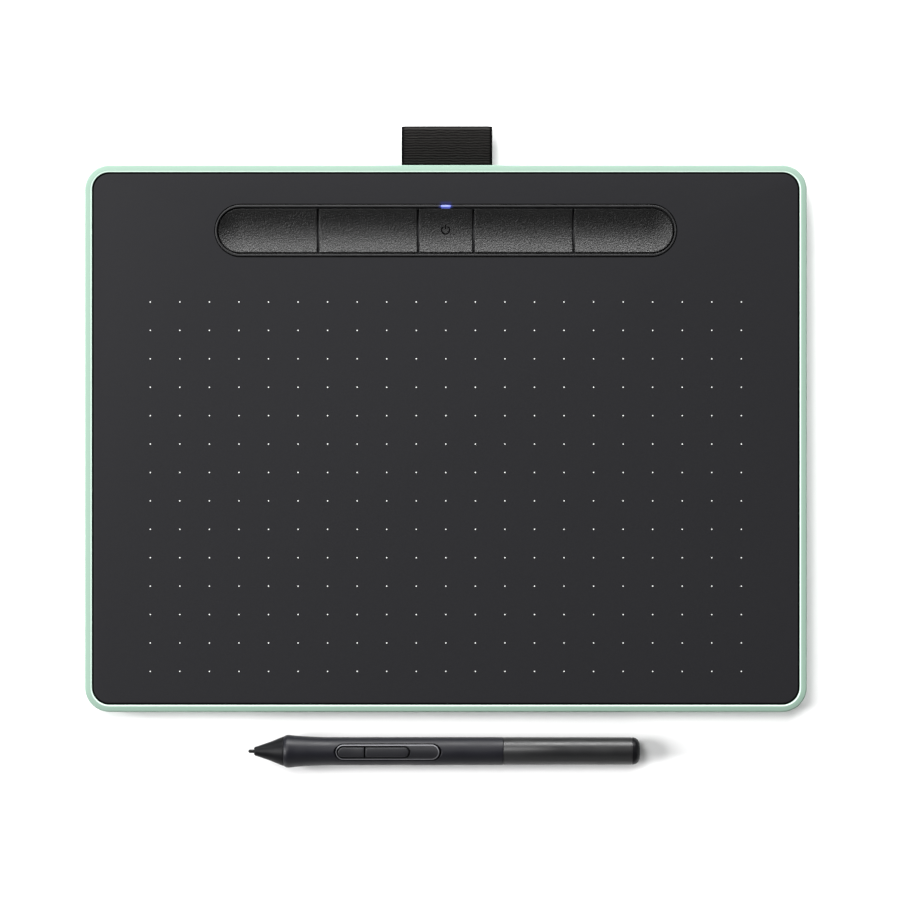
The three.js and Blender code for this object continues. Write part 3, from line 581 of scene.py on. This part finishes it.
def build_case():
    """A shell with a profile of (how far in, height) pairs, from its underside round to its inside."""
    under = quarter((5.0, CASE_BOTTOM), (0.0, 5.2), 0, 14)
    over = [*quarter((0.0, 7.4), (0.6, 8.58), 1, 10), (1.2, 8.69), (1.6, 8.75), (2.05, RIM_TOP)]
    lip = [(2.2, 8.79), (2.58, 8.7), (2.64, SURFACE_TOP)]
    inside = [(2.62, 7.2), (4.0, 7.2), (4.0, 2.7), (4.5, 2.2)]
    profile = [(5.6, CASE_BOTTOM), *under, *over, *lip, *inside]
    case = loft("rear_case_shell", [case_ring(inset, z) for inset, z in profile])
    recess_half = (FOOT_HALF[0] + FOOT_GAP, FOOT_HALF[1] + FOOT_GAP)
    tools = [
        pill_tool("recess_" + name, *recess_half, 0.5, 1.6, centre, -0.55, 0.55)
        for name, centre in zip(FOOT_NAMES, FEET)
    ]
    carve(case, *tools, port_opening(), loop_opening())
    dress(case, green, "green_case", "tablet", "rear_case")

    def on_rim_highlight(face):
        x, y, z = face.center / MM
        sloped = SURFACE_TOP < z < RIM_TOP - 0.005 and 0.5 < face.normal.z < 0.995
        return sloped and case_inset(x, y) > RIM_HIGHLIGHT_START

    # The chamfer faces at the rim's inner edge get the lighter green, a painted highlight.
    mark_faces(case, green_painted_highlight, on_rim_highlight)


def build_surface():
    """The drawing surface, with a flange that the case holds and a window for the ring."""
    flange = [(2.6, 7.25), (2.6, 7.6), (3.2, 7.6)]
    profile = [*flange, (3.2, 8.36), *quarter((3.24, 8.42), (3.66, SURFACE_TOP), 1, 4)]
    plate = loft("drawing_surface_plate", [case_ring(inset, z) for inset, z in profile])
    window_half = (RING_OUT[0] + 0.18, RING_OUT[1] + 0.25)
    window = pill_tool("window_tool", *window_half, 7.0, SURFACE_TOP + 0.15, (0, BAR_Y), 0.3, 0.3, 24)
    carve(plate, window)
    dress(plate, surface, "surface", "tablet", "drawing_surface")
    # The plate's edges and flange, down in the groove, get painted shade.
    mark_faces(plate, painted_shade_black, lambda face: face.normal.z < 0.9 or face.center.z < 8 * MM)


def build_bezel():
    """The ring round the keys, with a slot for the status light."""
    bottom = (0.0, 6.6)
    outer_edge = quarter((0.0, RING_TOP - 0.25), (-0.25, RING_TOP), 1, 4)
    inner_edge = quarter((0.2, RING_TOP), (0.0, RING_TOP - 0.2), 0, 4)
    rings = []
    for half, edge in ((RING_OUT, outer_edge), (RING_IN, [*inner_edge, bottom]), (RING_OUT, [bottom])):
        for offset, z in edge:
            rings.append(pill_ring(half[0] + offset, half[1] + offset, z, (0, BAR_Y), 28))
    ring = loft("key_ring", rings, closed=True)
    slot_half = (LIGHT_HALF[0] + 0.13, LIGHT_HALF[1] + 0.07)
    carve(ring, pill_tool("light_slot", *slot_half, 6.0, 9.0, (0, LIGHT_Y), steps=8))
    dress(ring, bezel, "bezel", "tablet", "key_bezel")


def build_light():
    """The end of the light guide that shows in the ring's slot."""
    edge = quarter((0.0, LIGHT_TOP - 0.09), (-0.12, LIGHT_TOP), 1, 3)
    rings = [
        pill_ring(LIGHT_HALF[0] + offset, LIGHT_HALF[1] + offset, z, (0, LIGHT_Y), 8)
        for offset, z in [(0.0, 4.25), *edge]
    ]
    dress(loft("status_light_bar", rings), lit, "light_guide", "tablet", "light_guide")


# ---- Keys and buttons ----


def rounding(distance, radius):
    """How far a rounded edge drops at this distance in from the edge."""
    if distance >= radius:
        return 0.0
    return radius - math.sqrt(max(radius * radius - (radius - distance) ** 2, 0.0))


def dense(low, high, radius, step):
    """Places from low to high, closer together within radius of each end."""
    near = (0.0, 0.04, 0.12, 0.25, 0.45, 0.7, 1.0)
    start = [low + radius * share for share in near]
    end = [high - radius * share for share in reversed(near)]
    count = max(2, round((end[0] - start[-1]) / step))
    middle = [start[-1] + (end[0] - start[-1]) * i / count for i in range(1, count)]
    return start + middle + end


def past_spine(x, spine):
    """How far x is past the ends of the straight part of a pill."""
    return max(spine[0] - x, x - spine[1], 0.0)


def pad(name, span, half_width, spine, height, bottom, radius, rows=40, step=0.6):
    """A cap cut from a pill between two cuts across it, with rounded edges.

    span is where it starts and ends along x. spine is the part of the pill's middle line between the centres
    of its round ends: the cap is round at an end that reaches past it. height gives the top at (x, y).
    """
    low, high = span
    round_start, round_end = low < spine[0], high > spine[1]
    arc = 20
    xs = dense(spine[0] if round_start else low, spine[1] if round_end else high, radius, step)
    if round_start:
        xs = [spine[0] - half_width * math.cos(i / arc * math.pi / 2) for i in range(arc)] + xs
    if round_end:
        xs += [spine[1] + half_width * math.sin(i / arc * math.pi / 2) for i in range(1, arc + 1)]

    def edge_distance(x, y):
        side = half_width - math.hypot(past_spine(x, spine), y)
        if not round_start:
            side = min(side, x - low)
        if not round_end:
            side = min(side, high - x)
        return max(side, 0.0)

    points, grid = [], []
    for x in xs:
        reach = math.sqrt(max(half_width ** 2 - past_spine(x, spine) ** 2, 0.0))
        line = []
        for j in range(rows + 1):
            y = reach * math.sin((j / rows - 0.5) * math.pi)
            line.append(len(points))
            points.append((x, y, height(x, y) - rounding(edge_distance(x, y), radius)))
        grid.append(line)
    faces = []
    for line, following in zip(grid, grid[1:]):
        for j in range(rows):
            faces.append((line[j], following[j], following[j + 1], line[j + 1]))
    rim = [line[0] for line in grid] + grid[-1][1:]
    rim += [line[-1] for line in reversed(grid[:-1])] + grid[0][-2:0:-1]
    skirt = []
    for index in rim:
        x, y, _ = points[index]
        skirt.append(len(points))
        points.append((x, y, bottom))
    count = len(rim)
    for i in range(count):
        k = (i + 1) % count
        faces.append((rim[i], skirt[i], skirt[k], rim[k]))
    faces.append(tuple(skirt))
    return make_object(name, points, faces, 40)


def trough_height(x, y):
    """The top of the keys, whose faces make one long trough."""
    half = BAR_HALF[1]
    spine = BAR_HALF[0] - half
    past = past_spine(x, (-spine, spine))
    away = min(math.hypot(past * END_EASE, y), half)
    return KEY_TOP - TROUGH * math.cos(away / half * math.pi / 2)


def move(body, offset):
    """Moves the mesh of body by an offset in millimetres."""
    body.data.transform(Matrix.Translation(Vector(offset) * MM))
    return body


def power_symbol():
    """Cutters for a debossed ring that is open at its top, and the bar in the opening."""
    cx, cy = SYMBOL["x"], SYMBOL["y"]
    opening = SYMBOL["opening"]
    half_line = SYMBOL["line"] / 2
    half_bar, bar_up = 0.8, 1.15
    levels = (SYMBOL["floor"], KEY_TOP + 0.15)
    count = 36
    points = []
    for i in range(count + 1):
        angle = math.pi / 2 + opening + (2 * math.pi - 2 * opening) * i / count
        for radius in (SYMBOL["radius"] - half_line, SYMBOL["radius"] + half_line):
            for z in levels:
                points.append((cx + radius * math.cos(angle), cy + radius * math.sin(angle), z))
    faces = [(0, 1, 3, 2), tuple(4 * count + i for i in (0, 2, 3, 1))]
    for i in range(count):
        a, b = 4 * i, 4 * (i + 1)
        for p, q in ((0, 2), (2, 3), (3, 1), (1, 0)):
            faces.append((a + p, b + p, b + q, a + q))
    arc = make_object("symbol_arc", points, faces)
    bar_rings = [rounded_ring(half_line, half_bar, 0.2, z, 5, (cx, cy + bar_up)) for z in levels]
    return arc, loft("symbol_bar", bar_rings)


def in_symbol(face):
    """Whether a face of the power button is part of its debossed symbol."""
    x, y, z = face.center / MM
    near = math.hypot(x, y - BAR_Y) < 2.2 * SYMBOL["radius"]
    return near and KEY_BOTTOM + 0.1 < z < trough_height(x, y - BAR_Y) - 0.06


def build_keys():
    spine_half = BAR_HALF[0] - BAR_HALF[1]
    spine = (-spine_half, spine_half)
    starts = [-BAR_HALF[0], *(split + KEY_GAP / 2 for split in KEY_SPLITS)]
    ends = [*(split - KEY_GAP / 2 for split in KEY_SPLITS), BAR_HALF[0]]
    names = ("express_key_1", "express_key_2", "power_button", "express_key_3", "express_key_4")
    bodies = ("key_1", "key_2", "power", "key_3", "key_4")
    for name, body, *span in zip(names, bodies, starts, ends):
        cap = pad(name + "_cap", span, BAR_HALF[1], spine, trough_height, KEY_BOTTOM, 0.3)
        move(cap, (0, BAR_Y, 0))
        if name == "power_button":
            carve(cap, *power_symbol(), sharp=40)
        dress(cap, key_plastic, "key", body, name)
        if name == "power_button":
            # The symbol's recess gets painted shade.
            mark_faces(cap, painted_shade_black, in_symbol)


build_case()
build_surface()
build_bezel()
build_light()
build_keys()

# ---- The feet and the socket ----


def build_feet():
    half_x, half_y = FOOT_HALF
    profile = [*quarter((-0.45, 0.0), (0.0, 0.4), 0, 5), (0.0, 1.5)]
    for name, centre in zip(FOOT_NAMES, FEET):
        rings = [pill_ring(half_x + offset, half_y + offset, z, centre) for offset, z in profile]
        foot = loft("foot_" + name + "_pad", rings)
        dress(foot, rubber, "rubber", "tablet", "foot_" + name)


def build_socket():
    """A small socket with a flared shell, a tongue and its contacts."""
    side, py, pz = PORT
    front = side + 4.6
    depth = 5.4

    def section(grow, inwards):
        """The socket's outline, with its two lower corners cut off."""
        half_y, half_z = 3.75 + grow, 1.3 + grow
        trim, cut_y, cut_z = 0.3, 0.75, 0.9
        left = [(-half_y, half_z - trim), (-half_y, cut_z - half_z), (cut_y - half_y, -half_z)]
        right = [(-u, v) for u, v in reversed(left)]
        loop = [(half_y - trim, half_z), (trim - half_y, half_z), *left, *right]
        return [(front + inwards, py + u, pz + v) for u, v in loop]

    def bar(name, half_y, half_z, stations, corner=0.15, steps=4, offset=(0.0, 0.0)):
        """A small bar along x, whose stations are (inwards, grow) pairs."""
        rings = []
        for inwards, grow in stations:
            ring = rounded_ring(half_y + grow, half_z + grow, corner, 0, steps)
            rings.append([(front + inwards, py + offset[0] + u, pz + offset[1] + v) for u, v, _ in ring])
        return loft(name, rings)

    outside = [(0.05, 0.0), (-0.06, 0.15), (-0.06, depth)]
    inside = [(-0.4, depth), (-0.4, 4.6), (-0.4, 0.25), (-0.25, 0.0)]
    shell = loft("usb_socket_shell", [section(*station) for station in (*outside, *inside)], closed=True)
    dress(shell, steel, "steel", "tablet", "usb_socket")
    tongue = bar("usb_socket_tongue", 2.3, 0.32, [(0.7, -0.12), (0.85, 0.0), (5.0, 0.0)])
    dress(tongue, inner_black, "inner_plastic", "tablet")
    back = bar("usb_socket_back", 3.3, 0.88, [(4.4, 0.0), (5.2, 0.0)])
    dress(back, inner_black, "inner_plastic", "tablet")
    gold = metal("contact", linear(226, 184, 96), 0.22)
    for i in range(5):
        offset = ((i - 2) * 0.8, 0.33)
        strip = bar(f"usb_contact_{i + 1}", 0.16, 0.05, [(0.95, 0.0), (4.5, 0.0)], 0.03, 3, offset)
        dress(strip, gold, "steel", "tablet")


build_feet()
build_socket()

# ---- The woven pen loop ----


def fabric_material(path_length):
    """A grosgrain ribbon: ribs across it, and fine warp threads over them.

    U runs across it and V along it. It is darker at its two edges, and has painted shade at the fold and
    where it enters the case.
    """
    n = Nodes("fabric")
    u, v, _ = n.axes(n.add("ShaderNodeUVMap", uv_map="ribbon").outputs[0])
    uneven = n.product(n.noise(2.2), 0.55 * MM)
    rib = n.math("SINE", n.product(n.math("ADD", v, uneven), 2 * math.pi / (RIB["pitch"] * MM)))
    rib_up = n.fit(rib, -1, 1)
    half_thread = 0.14 * MM
    jitter = n.product(n.noise(0.5), 0.12 * MM)
    thread = n.math("PINGPONG", n.math("ADD", u, jitter), half_thread)
    thread_up = n.fit(thread, 0, half_thread)
    side = n.fit(n.math("ABSOLUTE", u), 15.45 * MM, 15.85 * MM)
    from_fold = n.math("ABSOLUTE", n.math("SUBTRACT", v, path_length / 2 * MM))
    # Painted shade: darker at the fold and where the ribbon enters the case.
    fold = n.fit(from_fold, 1.9 * MM, 2.6 * MM, 1.0, 0.0)
    slot_shade = n.fit(from_fold, 15.2 * MM, 16.0 * MM)
    dark = n.math("MAXIMUM", side, n.math("MAXIMUM", fold, slot_shade))
    base = linear(33, 32, 31)
    weave = n.product(rib_up, n.fit(thread_up, 0, 1, 0.55, 1.0))
    woven = n.mix(weave, shade(base, 0.1), shade(base, 2.6))
    fuzz = n.noise(0.09, 3.0, 0.6)
    toned = n.mix(n.product(fuzz, 0.4), woven, shade(base, 0.5))
    n.set(
        Base_Color=n.mix(dark, toned, shade(base, 0.05)),
        Roughness=n.fit(fuzz, 0.2, 0.8, 0.8, 0.95),
        Specular_IOR_Level=0.05,
        Normal=n.bump(n.math("ADD", thread_up, n.product(fuzz, 0.5)), 0.06),
    )
    return n.material


def bezier(a, b, c, d, count):
    """Points on a cubic curve, without its first."""
    made = []
    for i in range(1, count + 1):
        t = i / count
        s = 1 - t
        shares = (s ** 3, 3 * s * s * t, 3 * s * t * t, t ** 3)
        made.append(tuple(
            sum(share * value for share, value in zip(shares, axis)) for axis in zip(a, b, c, d)
        ))
    return made


def loop_path():
    """The ribbon's middle line in the plane across the tablet's edge, as (outwards, up) pairs."""
    half, turn = LOOP["thick"] / 2, LOOP["turn"]
    nose = LOOP["out"] - half - turn
    level = LOOP["half_height"] - half
    start = half + 0.12
    clamped = -3.0
    points = [(-LOOP["tail"], start), (clamped, start)]
    points += bezier((clamped, start), (1.6, start), (nose * 0.3, level), (nose, level), 24)
    points += quarter((nose, level), (nose + turn, level - turn), 0, 12)[1:]
    return points + [(x, -y) for x, y in reversed(points)]


def even_path(points, step):
    """The same line with points a step apart, each with its place along the line."""
    lengths = [0.0]
    for a, b in zip(points, points[1:]):
        lengths.append(lengths[-1] + math.dist(a, b))
    total = lengths[-1]
    count = round(total / step)
    made = []
    k = 0
    for i in range(count + 1):
        want = total * i / count
        while k < len(points) - 2 and lengths[k + 1] < want:
            k += 1
        share = (want - lengths[k]) / (lengths[k + 1] - lengths[k])
        a, b = points[k], points[k + 1]
        made.append((a[0] + (b[0] - a[0]) * share, a[1] + (b[1] - a[1]) * share, want))
    return made, total


def ribbon_columns():
    """Places across the ribbon, closer together at its two edges."""
    half = LOOP["half_width"]
    insets = (0.0, 0.12, 0.35, 0.8)
    inner, steps = half - insets[-1], 34
    middle = [-inner + 2 * inner * i / steps for i in range(1, steps)]
    return [inset - half for inset in insets] + middle + [half - inset for inset in reversed(insets)]


def ribbon_swell(x, ridge):
    """Half the ribbon's thickness at a place across it. It thins, and its ribs fade, towards its edges."""
    edge = LOOP["half_width"] - abs(x)
    plump = math.sqrt(max(1 - (1 - min(edge / 0.35, 1)) ** 2, 0))
    calm = min(edge / 1.2, 1)
    ribbed = RIB["height"] / 2 * ridge * (0.35 + 0.65 * calm)
    return LOOP["thick"] / 2 * (0.3 + 0.7 * plump) + ribbed - 0.06 * (1 - calm)


def ribbon_faces(rows, last):
    """Skins the sides, the edges and the ends. A row holds a line of points on each of the two sides."""
    faces = []
    for (a, c), (b, d) in zip(rows, rows[1:]):
        for k in range(last):
            faces.append((a[k], a[k + 1], b[k + 1], b[k]))
            faces.append((d[k], d[k + 1], c[k + 1], c[k]))
        faces.append((a[0], b[0], d[0], c[0]))
        faces.append((a[last], c[last], d[last], b[last]))
    for a, c in (rows[0], rows[-1]):
        faces += [(a[k], a[k + 1], c[k + 1], c[k]) for k in range(last)]
    return faces


def build_loop():
    path, total = even_path(loop_path(), RIB["pitch"] / 8)
    columns = ribbon_columns()
    points, uvs, rows = [], [], []
    for i, (out, up, along) in enumerate(path):
        a, b = path[max(i - 1, 0)], path[min(i + 1, len(path) - 1)]
        size = math.dist(a[:2], b[:2])
        normal = (-(b[1] - a[1]) / size, (b[0] - a[0]) / size)
        ridge = math.sin(2 * math.pi * along / RIB["pitch"])
        row = []
        for side in (1, -1):
            line = []
            for x in columns:
                swell = side * ribbon_swell(x, ridge)
                line.append(len(points))
                points.append((x, out + normal[0] * swell, up + normal[1] * swell))
                uvs.append((x * MM, along * MM))
            row.append(line)
        rows.append(row)
    mesh = bpy.data.meshes.new("pen_loop_ribbon")
    place = Vector((LOOP["x"], HALF[1] + SHIFT, LOOP["z"]))
    faces = ribbon_faces(rows, len(columns) - 1)
    mesh.from_pydata([(place + Vector(point)) * MM for point in points], [], faces)
    layer = mesh.uv_layers.new(name="ribbon")
    for corner in mesh.loops:
        layer.data[corner.index].uv = uvs[corner.vertex_index]
    ribbon = bpy.data.objects.new("pen_loop_ribbon", mesh)
    scene.collection.objects.link(ribbon)
    work = bmesh.new()
    work.from_mesh(mesh)
    bmesh.ops.recalc_face_normals(work, faces=work.faces)
    work.to_mesh(mesh)
    work.free()
    mesh.shade_smooth()
    dress(ribbon, fabric_material(total), "fabric", "tablet", "pen_loop")


build_loop()

# ---- The pen ----
# Its pieces are made in its own frame, with X along it from the tip, and PEN_PLACE lays them on the desk.
# Profiles are (along, radius) pairs.

PEN_TIP = (-72.3, -114.5 + SHIFT)
PEN_LENGTH = 143.3
CREST, CREST_RADIUS = 14.5, 6.0  # the widest place, behind the nose cone
END_ROUND, END_RADIUS = 2.7, 5.0
NIB_RADIUS = 0.65
SWITCH = {"start": 32.1, "end": 69.9, "half_width": 2.82, "radius": 5.24, "bevel": 0.42}
BUTTONS = {"start": 32.9, "end": 58.7, "split": 42.7, "gap": 0.5, "half_width": 1.75}

# It rests on its crest and on its rear end, so it leans by the difference between their radii.
LEAN = math.atan((CREST_RADIUS - END_RADIUS) / (PEN_LENGTH - END_ROUND - CREST))
TIP_HEIGHT = CREST * math.sin(LEAN) + CREST_RADIUS * math.cos(LEAN)
PEN_PLACE = Matrix.Translation(Vector((*PEN_TIP, TIP_HEIGHT)) * MM) @ Matrix.Rotation(LEAN, 4, "Y")
PEN_BACK = PEN_PLACE.inverted()


def turned(name, profile, closed=False, sides=96, sharp=28.0):
    """A body turned about the pen's axis. An open profile starts and ends on the axis."""
    points, faces, rows = [], [], []
    for along, radius in profile:
        if radius < 1e-6:
            rows.append([len(points)])
            points.append((along, 0, 0))
            continue
        rows.append(list(range(len(points), len(points) + sides)))
        for k in range(sides):
            angle = 2 * math.pi * k / sides
            points.append((along, radius * math.cos(angle), radius * math.sin(angle)))
    pairs = list(zip(rows, rows[1:]))
    if closed:
        pairs.append((rows[-1], rows[0]))
    for a, b in pairs:
        if len(a) == len(b) == 1:
            continue
        for k in range(sides):
            m = (k + 1) % sides
            if len(a) == 1:
                faces.append((a[0], b[m], b[k]))
            elif len(b) == 1:
                faces.append((a[k], a[m], b[0]))
            else:
                faces.append((a[k], a[m], b[m], b[k]))
    return make_object(name, points, faces, sharp)


def smooth_profile(points, step=0.5):
    """A smooth (Catmull-Rom) curve through the points of a profile."""
    made = []
    count = len(points)
    for i in range(count - 1):
        p0, p1 = points[max(i - 1, 0)], points[i]
        p2, p3 = points[i + 1], points[min(i + 2, count - 1)]
        parts = max(1, round(math.dist(p1, p2) / step))
        for k in range(parts):
            t = k / parts
            made.append(tuple(
                b + 0.5 * t * ((c - a) + (2 * a - 5 * b + 4 * c - d) * t + (3 * b - a - 3 * c + d) * t * t)
                for a, b, c, d in zip(p0, p1, p2, p3)
            ))
    made.append(tuple(points[-1]))
    return made


def dress_pen(body, *details):
    """Puts a piece of the pen in its place, then dresses it."""
    body.data.transform(PEN_PLACE)
    dress(body, *details)


def in_pen_frame(place):
    """A place in the scene as one in the pen's frame, in millimetres."""
    return (PEN_BACK @ place) / MM


grip_coat = moulded_plastic("soft_grip", linear(15, 15, 21), 0.46, 0.16, 0.006, 0.05, 8, 0.26)
satin_plastic = moulded_plastic("pen_plastic", linear(13, 13, 15), 0.42, 0.2, 0.004, 0.04, 8, 0.1)
button_plastic = moulded_plastic("pen_button", linear(26, 26, 29), 0.42, 0.2, 0.004, 0.04, 8, 0.25)
# A lighter grey for the switch bezel's edge: a painted highlight.
pen_painted_highlight = moulded_plastic("pen_painted_highlight", linear(84, 84, 88), 0.4, 0.2, 0.002, 0.04, 8, 0.4)
gloss_plastic = moulded_plastic("pen_gloss", linear(21, 21, 22), 0.38, 0.42, 0.014, 0.2, 8, 0.4)
nib_plastic = moulded_plastic("nib", linear(11, 11, 12), 0.45, 0.1, 0.004, 0.1, 2, 0.15)


def build_nib_and_nose():
    point = quarter((0.0, 0.0), (NIB_RADIUS, NIB_RADIUS), 1, 10)
    nib = turned("nib_tip", [*point, (21.8, NIB_RADIUS), (22.0, 0.55), (22.0, 0.0)], sides=40)
    dress_pen(nib, nib_plastic, "nib", "pen_nib", "nib")
    mouth = [(2.35, 1.0), (2.12, 1.04), (2.1, 1.15), (2.25, 1.42)]
    flank = [(2.6, 1.66), (3.7, 1.98), (5.1, 2.46), (8.1, 3.5), (11.0, 4.68), (12.55, 5.3)]
    cone = smooth_profile(flank, 0.4)
    end = [(12.85, 5.37), (12.9, 5.28), (12.9, 3.6), (18.5, 3.6), (18.5, 2.6), (7.6, 2.6), (7.4, 1.0)]
    nose = turned("nose_cone_shell", [*mouth, *cone, *end], closed=True)
    dress_pen(nose, satin_plastic, "pen_plastic", "pen", "nose_cone")


def build_grip():
    start = [(12.98, 4.0), (12.98, 5.36)]
    flare = smooth_profile([
        (13.04, 5.45), (13.8, 5.84), (14.5, 5.99), (15.4, 5.93), (16.9, 5.76), (18.3, 5.64), (19.8, 5.53),
        (21.3, 5.43), (22.7, 5.34), (25.7, 5.22), (28.6, 5.14), (34, 5.12), (60, 5.12), (93.0, 5.1),
    ], 0.45)
    end = [(93.2, 5.06), (93.25, 4.98), (93.25, 4.0)]
    grip = turned("grip_shell", [*start, *flare, *end], closed=True)
    window_half, window_middle, chamfer = (19.45, 3.15), (51.1, 0), 1.55
    window = pill_tool("switch_window", *window_half, 1.0, 6.2, window_middle, chamfer, chamfer, 20)
    carve(grip, window, sharp=28)
    dress_pen(grip, grip_coat, "soft_grip", "pen", "grip_barrel")


def absorb(body, extra):
    """Adds the mesh of extra to body, and removes extra."""
    joined = bmesh.new()
    joined.from_mesh(body.data)
    joined.from_mesh(extra.data)
    joined.to_mesh(body.data)
    joined.free()
    bpy.data.objects.remove(extra)


def build_switch():
    """The long bezel let into the grip, with a painted highlight on its edge and an opening for the two
    buttons.
    """
    half_width = SWITCH["half_width"]
    span = (SWITCH["start"], SWITCH["end"])
    spine = (span[0] + half_width, span[1] - half_width)

    def crown(_, y):
        return math.sqrt(SWITCH["radius"] ** 2 - y * y)

    def on_bezel_highlight(face):
        x, y, _ = in_pen_frame(face.center)
        inwards = half_width - math.hypot(past_spine(x, spine), y)
        return 0.02 < inwards < SWITCH["bevel"] and face.normal.z > 0.2

    plate = pad("switch_plate", span, half_width, spine, crown, 3.9, 0.3, 64, 0.3)
    window_half, window_middle = (13.42, 2.4), (45.85, 0)
    window = pill_tool("button_window", *window_half, 3.0, 5.45, window_middle, 0.4, 0.5, 20)
    carve(plate, window, sharp=35)
    dress_pen(plate, button_plastic, "pen_plastic", "pen", "switch_bezel")
    # The bezel's rounded edge gets the lighter grey, a painted highlight.
    mark_faces(plate, pen_painted_highlight, on_bezel_highlight)


def build_buttons():
    """Two caps, each with a wider lip under the bezel that closes the gap round it."""
    half_width = BUTTONS["half_width"]
    start, end = BUTTONS["start"], BUTTONS["end"]
    before, after = BUTTONS["split"] - BUTTONS["gap"] / 2, BUTTONS["split"] + BUTTONS["gap"] / 2
    spine = (start + half_width, end - half_width)
    bottom, lip_top, roll = 3.0, 3.4, 0.0825

    def front(x, y):
        dish = 0.1 * math.exp(-(((x - 38.2) / 2.6) ** 2))
        return 5.42 - roll * y * y - dish

    def rear(x, y):
        crown = 0.08 * math.cos((x - 50.8) / 8 * math.pi / 2)
        return 5.34 - roll * y * y + crown

    for name, body, span, height in (
        ("front_button", "pen_front_button", (start, before), front),
        ("rear_button", "pen_rear_button", (after, end), rear),
    ):
        cap = pad(name + "_cap", span, half_width, spine, height, bottom, 0.3, 28, 0.4)
        lip = pad(name + "_lip", span, half_width + 0.8, spine, lambda x, y: lip_top, bottom, 0.05, 8, 2.0)
        absorb(cap, lip)
        dress_pen(cap, button_plastic, "pen_plastic", body, name)


def build_rear_barrel():
    start = [(93.33, 3.95), (93.33, 4.96), (93.37, 5.03), (93.45, 5.07)]
    groove = [(140.25, 5.0), (140.3, 4.86), (140.5, 4.86), (140.55, 4.97)]
    end = [*quarter((140.75, 4.96), (PEN_LENGTH, 2.4), 0, 14), (PEN_LENGTH, 0.0)]
    profile = [*start, (116.0, 5.04), *groove, *end, (140.2, 0.0), (140.2, 3.95)]
    barrel = turned("rear_barrel_shell", profile, closed=True)
    dress_pen(barrel, gloss_plastic, "pen_plastic", "pen_rear_barrel", "rear_barrel")
    groove_end = groove[-1][0] + 0.05
    mark_faces(barrel, satin_plastic, lambda face: in_pen_frame(face.center).x > groove_end)


def build_chassis():
    """The carrier that shows when the rear barrel is off, with its snap grooves, latch and spare nibs."""
    hole = [(92.65, 0.0), (92.65, 1.0), (103.8, 1.0), (104.1, 1.15), (105.0, 1.15), (105.0, 0.0)]
    pin = [(93.0, 0.0), (93.0, 0.55), (93.1, NIB_RADIUS), (111.2, NIB_RADIUS), (111.8, 0.6), (112.0, 0.42)]
    pin.append((112.0, 0.0))
    radius, groove_radius, nib_ring = 3.6, 3.42, 1.9
    profile = [(29.9, 0.0), (29.9, 3.3), (30.2, radius), (95.0, radius)]
    for start in (95.0, 101.2):
        profile += [(start + 0.15, groove_radius), (start + 0.85, groove_radius), (start + 1.0, radius)]
    profile += [(103.5, radius), (103.85, 3.45), (104.0, 3.1), (104.0, 0.0)]
    carrier = turned("pen_chassis_carrier", profile)
    deck = loft("deck", [rounded_ring(29.3, 5.0, 0.6, z, 4, (60.7, 0)) for z in (0.1, 6.0)])
    latch = loft("latch", [rounded_ring(1.7, 1.1, 0.5, z, 6, (98.6, 0)) for z in (3.25, 4.5)])
    tools = [deck, latch]
    for i in range(3):
        angle = math.pi / 2 + i * 2 * math.pi / 3
        place = (0, nib_ring * math.cos(angle), nib_ring * math.sin(angle))
        tools.append(move(turned(f"hole_{i + 1}", hole), place))
        spare = move(turned(f"spare_nib_{i + 1}_pin", pin, sides=40), place)
        dress_pen(spare, nib_plastic, "nib", "pen", f"spare_nib_{i + 1}")
    carve(carrier, *tools)
    dress_pen(carrier, inner_black, "inner_plastic", "pen", "pen_chassis")


build_nib_and_nose()
build_grip()
build_switch()
build_buttons()
build_rear_barrel()
build_chassis()

# ---- Finishes of the CAD nodes that stay ----

cell_foil = metal("cell", linear(172, 174, 180), 0.32, (1, 6, 1))
amber = moulded_plastic("ribbon", linear(196, 122, 40), 0.35, 0.4, 0.004, 0.06)
ferrite = moulded_plastic("ferrite", linear(58, 55, 55), 0.5, 0.15, 0.02, 0.15, 2)
pen_mask = moulded_plastic("pen_board", linear(9, 11, 12), 0.5, 0.3, 0.02, 0.2, 3, 0.2)
copper = metal("copper", linear(188, 108, 62), 0.3, (40, 1, 1))
SLOT_MATERIALS = {
    "inner_plastic": inner_black, "board": board_mask, "chip": chip, "steel": steel, "shield": shield_metal,
    "cell": cell_foil, "ribbon": amber, "nib": nib_plastic, "ferrite": ferrite, "copper": copper,
    "light_guide": lit, "pen_plastic": satin_plastic,
}
slots = {part["node"]: part["material_slot"] for part in frame["record"]["subparts"]}
for name, node in frame["nodes"].items():
    if node.hide_render:
        continue
    node.data.materials.clear()
    node.data.materials.append(pen_mask if name == "pen_board" else SLOT_MATERIALS[slots[name]])

# ---- The floor ----

FLOOR_HALF = 8.0  # metres
corners = [(sx * FLOOR_HALF, sy * FLOOR_HALF, 0) for sx, sy in ((-1, -1), (1, -1), (1, 1), (-1, 1))]
floor_mesh = bpy.data.meshes.new("floor")
floor_mesh.from_pydata(corners, [], [(0, 1, 2, 3)])
floor = bpy.data.objects.new("floor", floor_mesh)
scene.collection.objects.link(floor)
paper = Nodes("floor")
paper.set(
    Base_Color=paper.mix(paper.noise(400), (0.89, 0.89, 0.89, 1), (0.91, 0.91, 0.91, 1)),
    Roughness=0.9,
    Specular_IOR_Level=0.1,
)
floor.data.materials.append(paper.material)
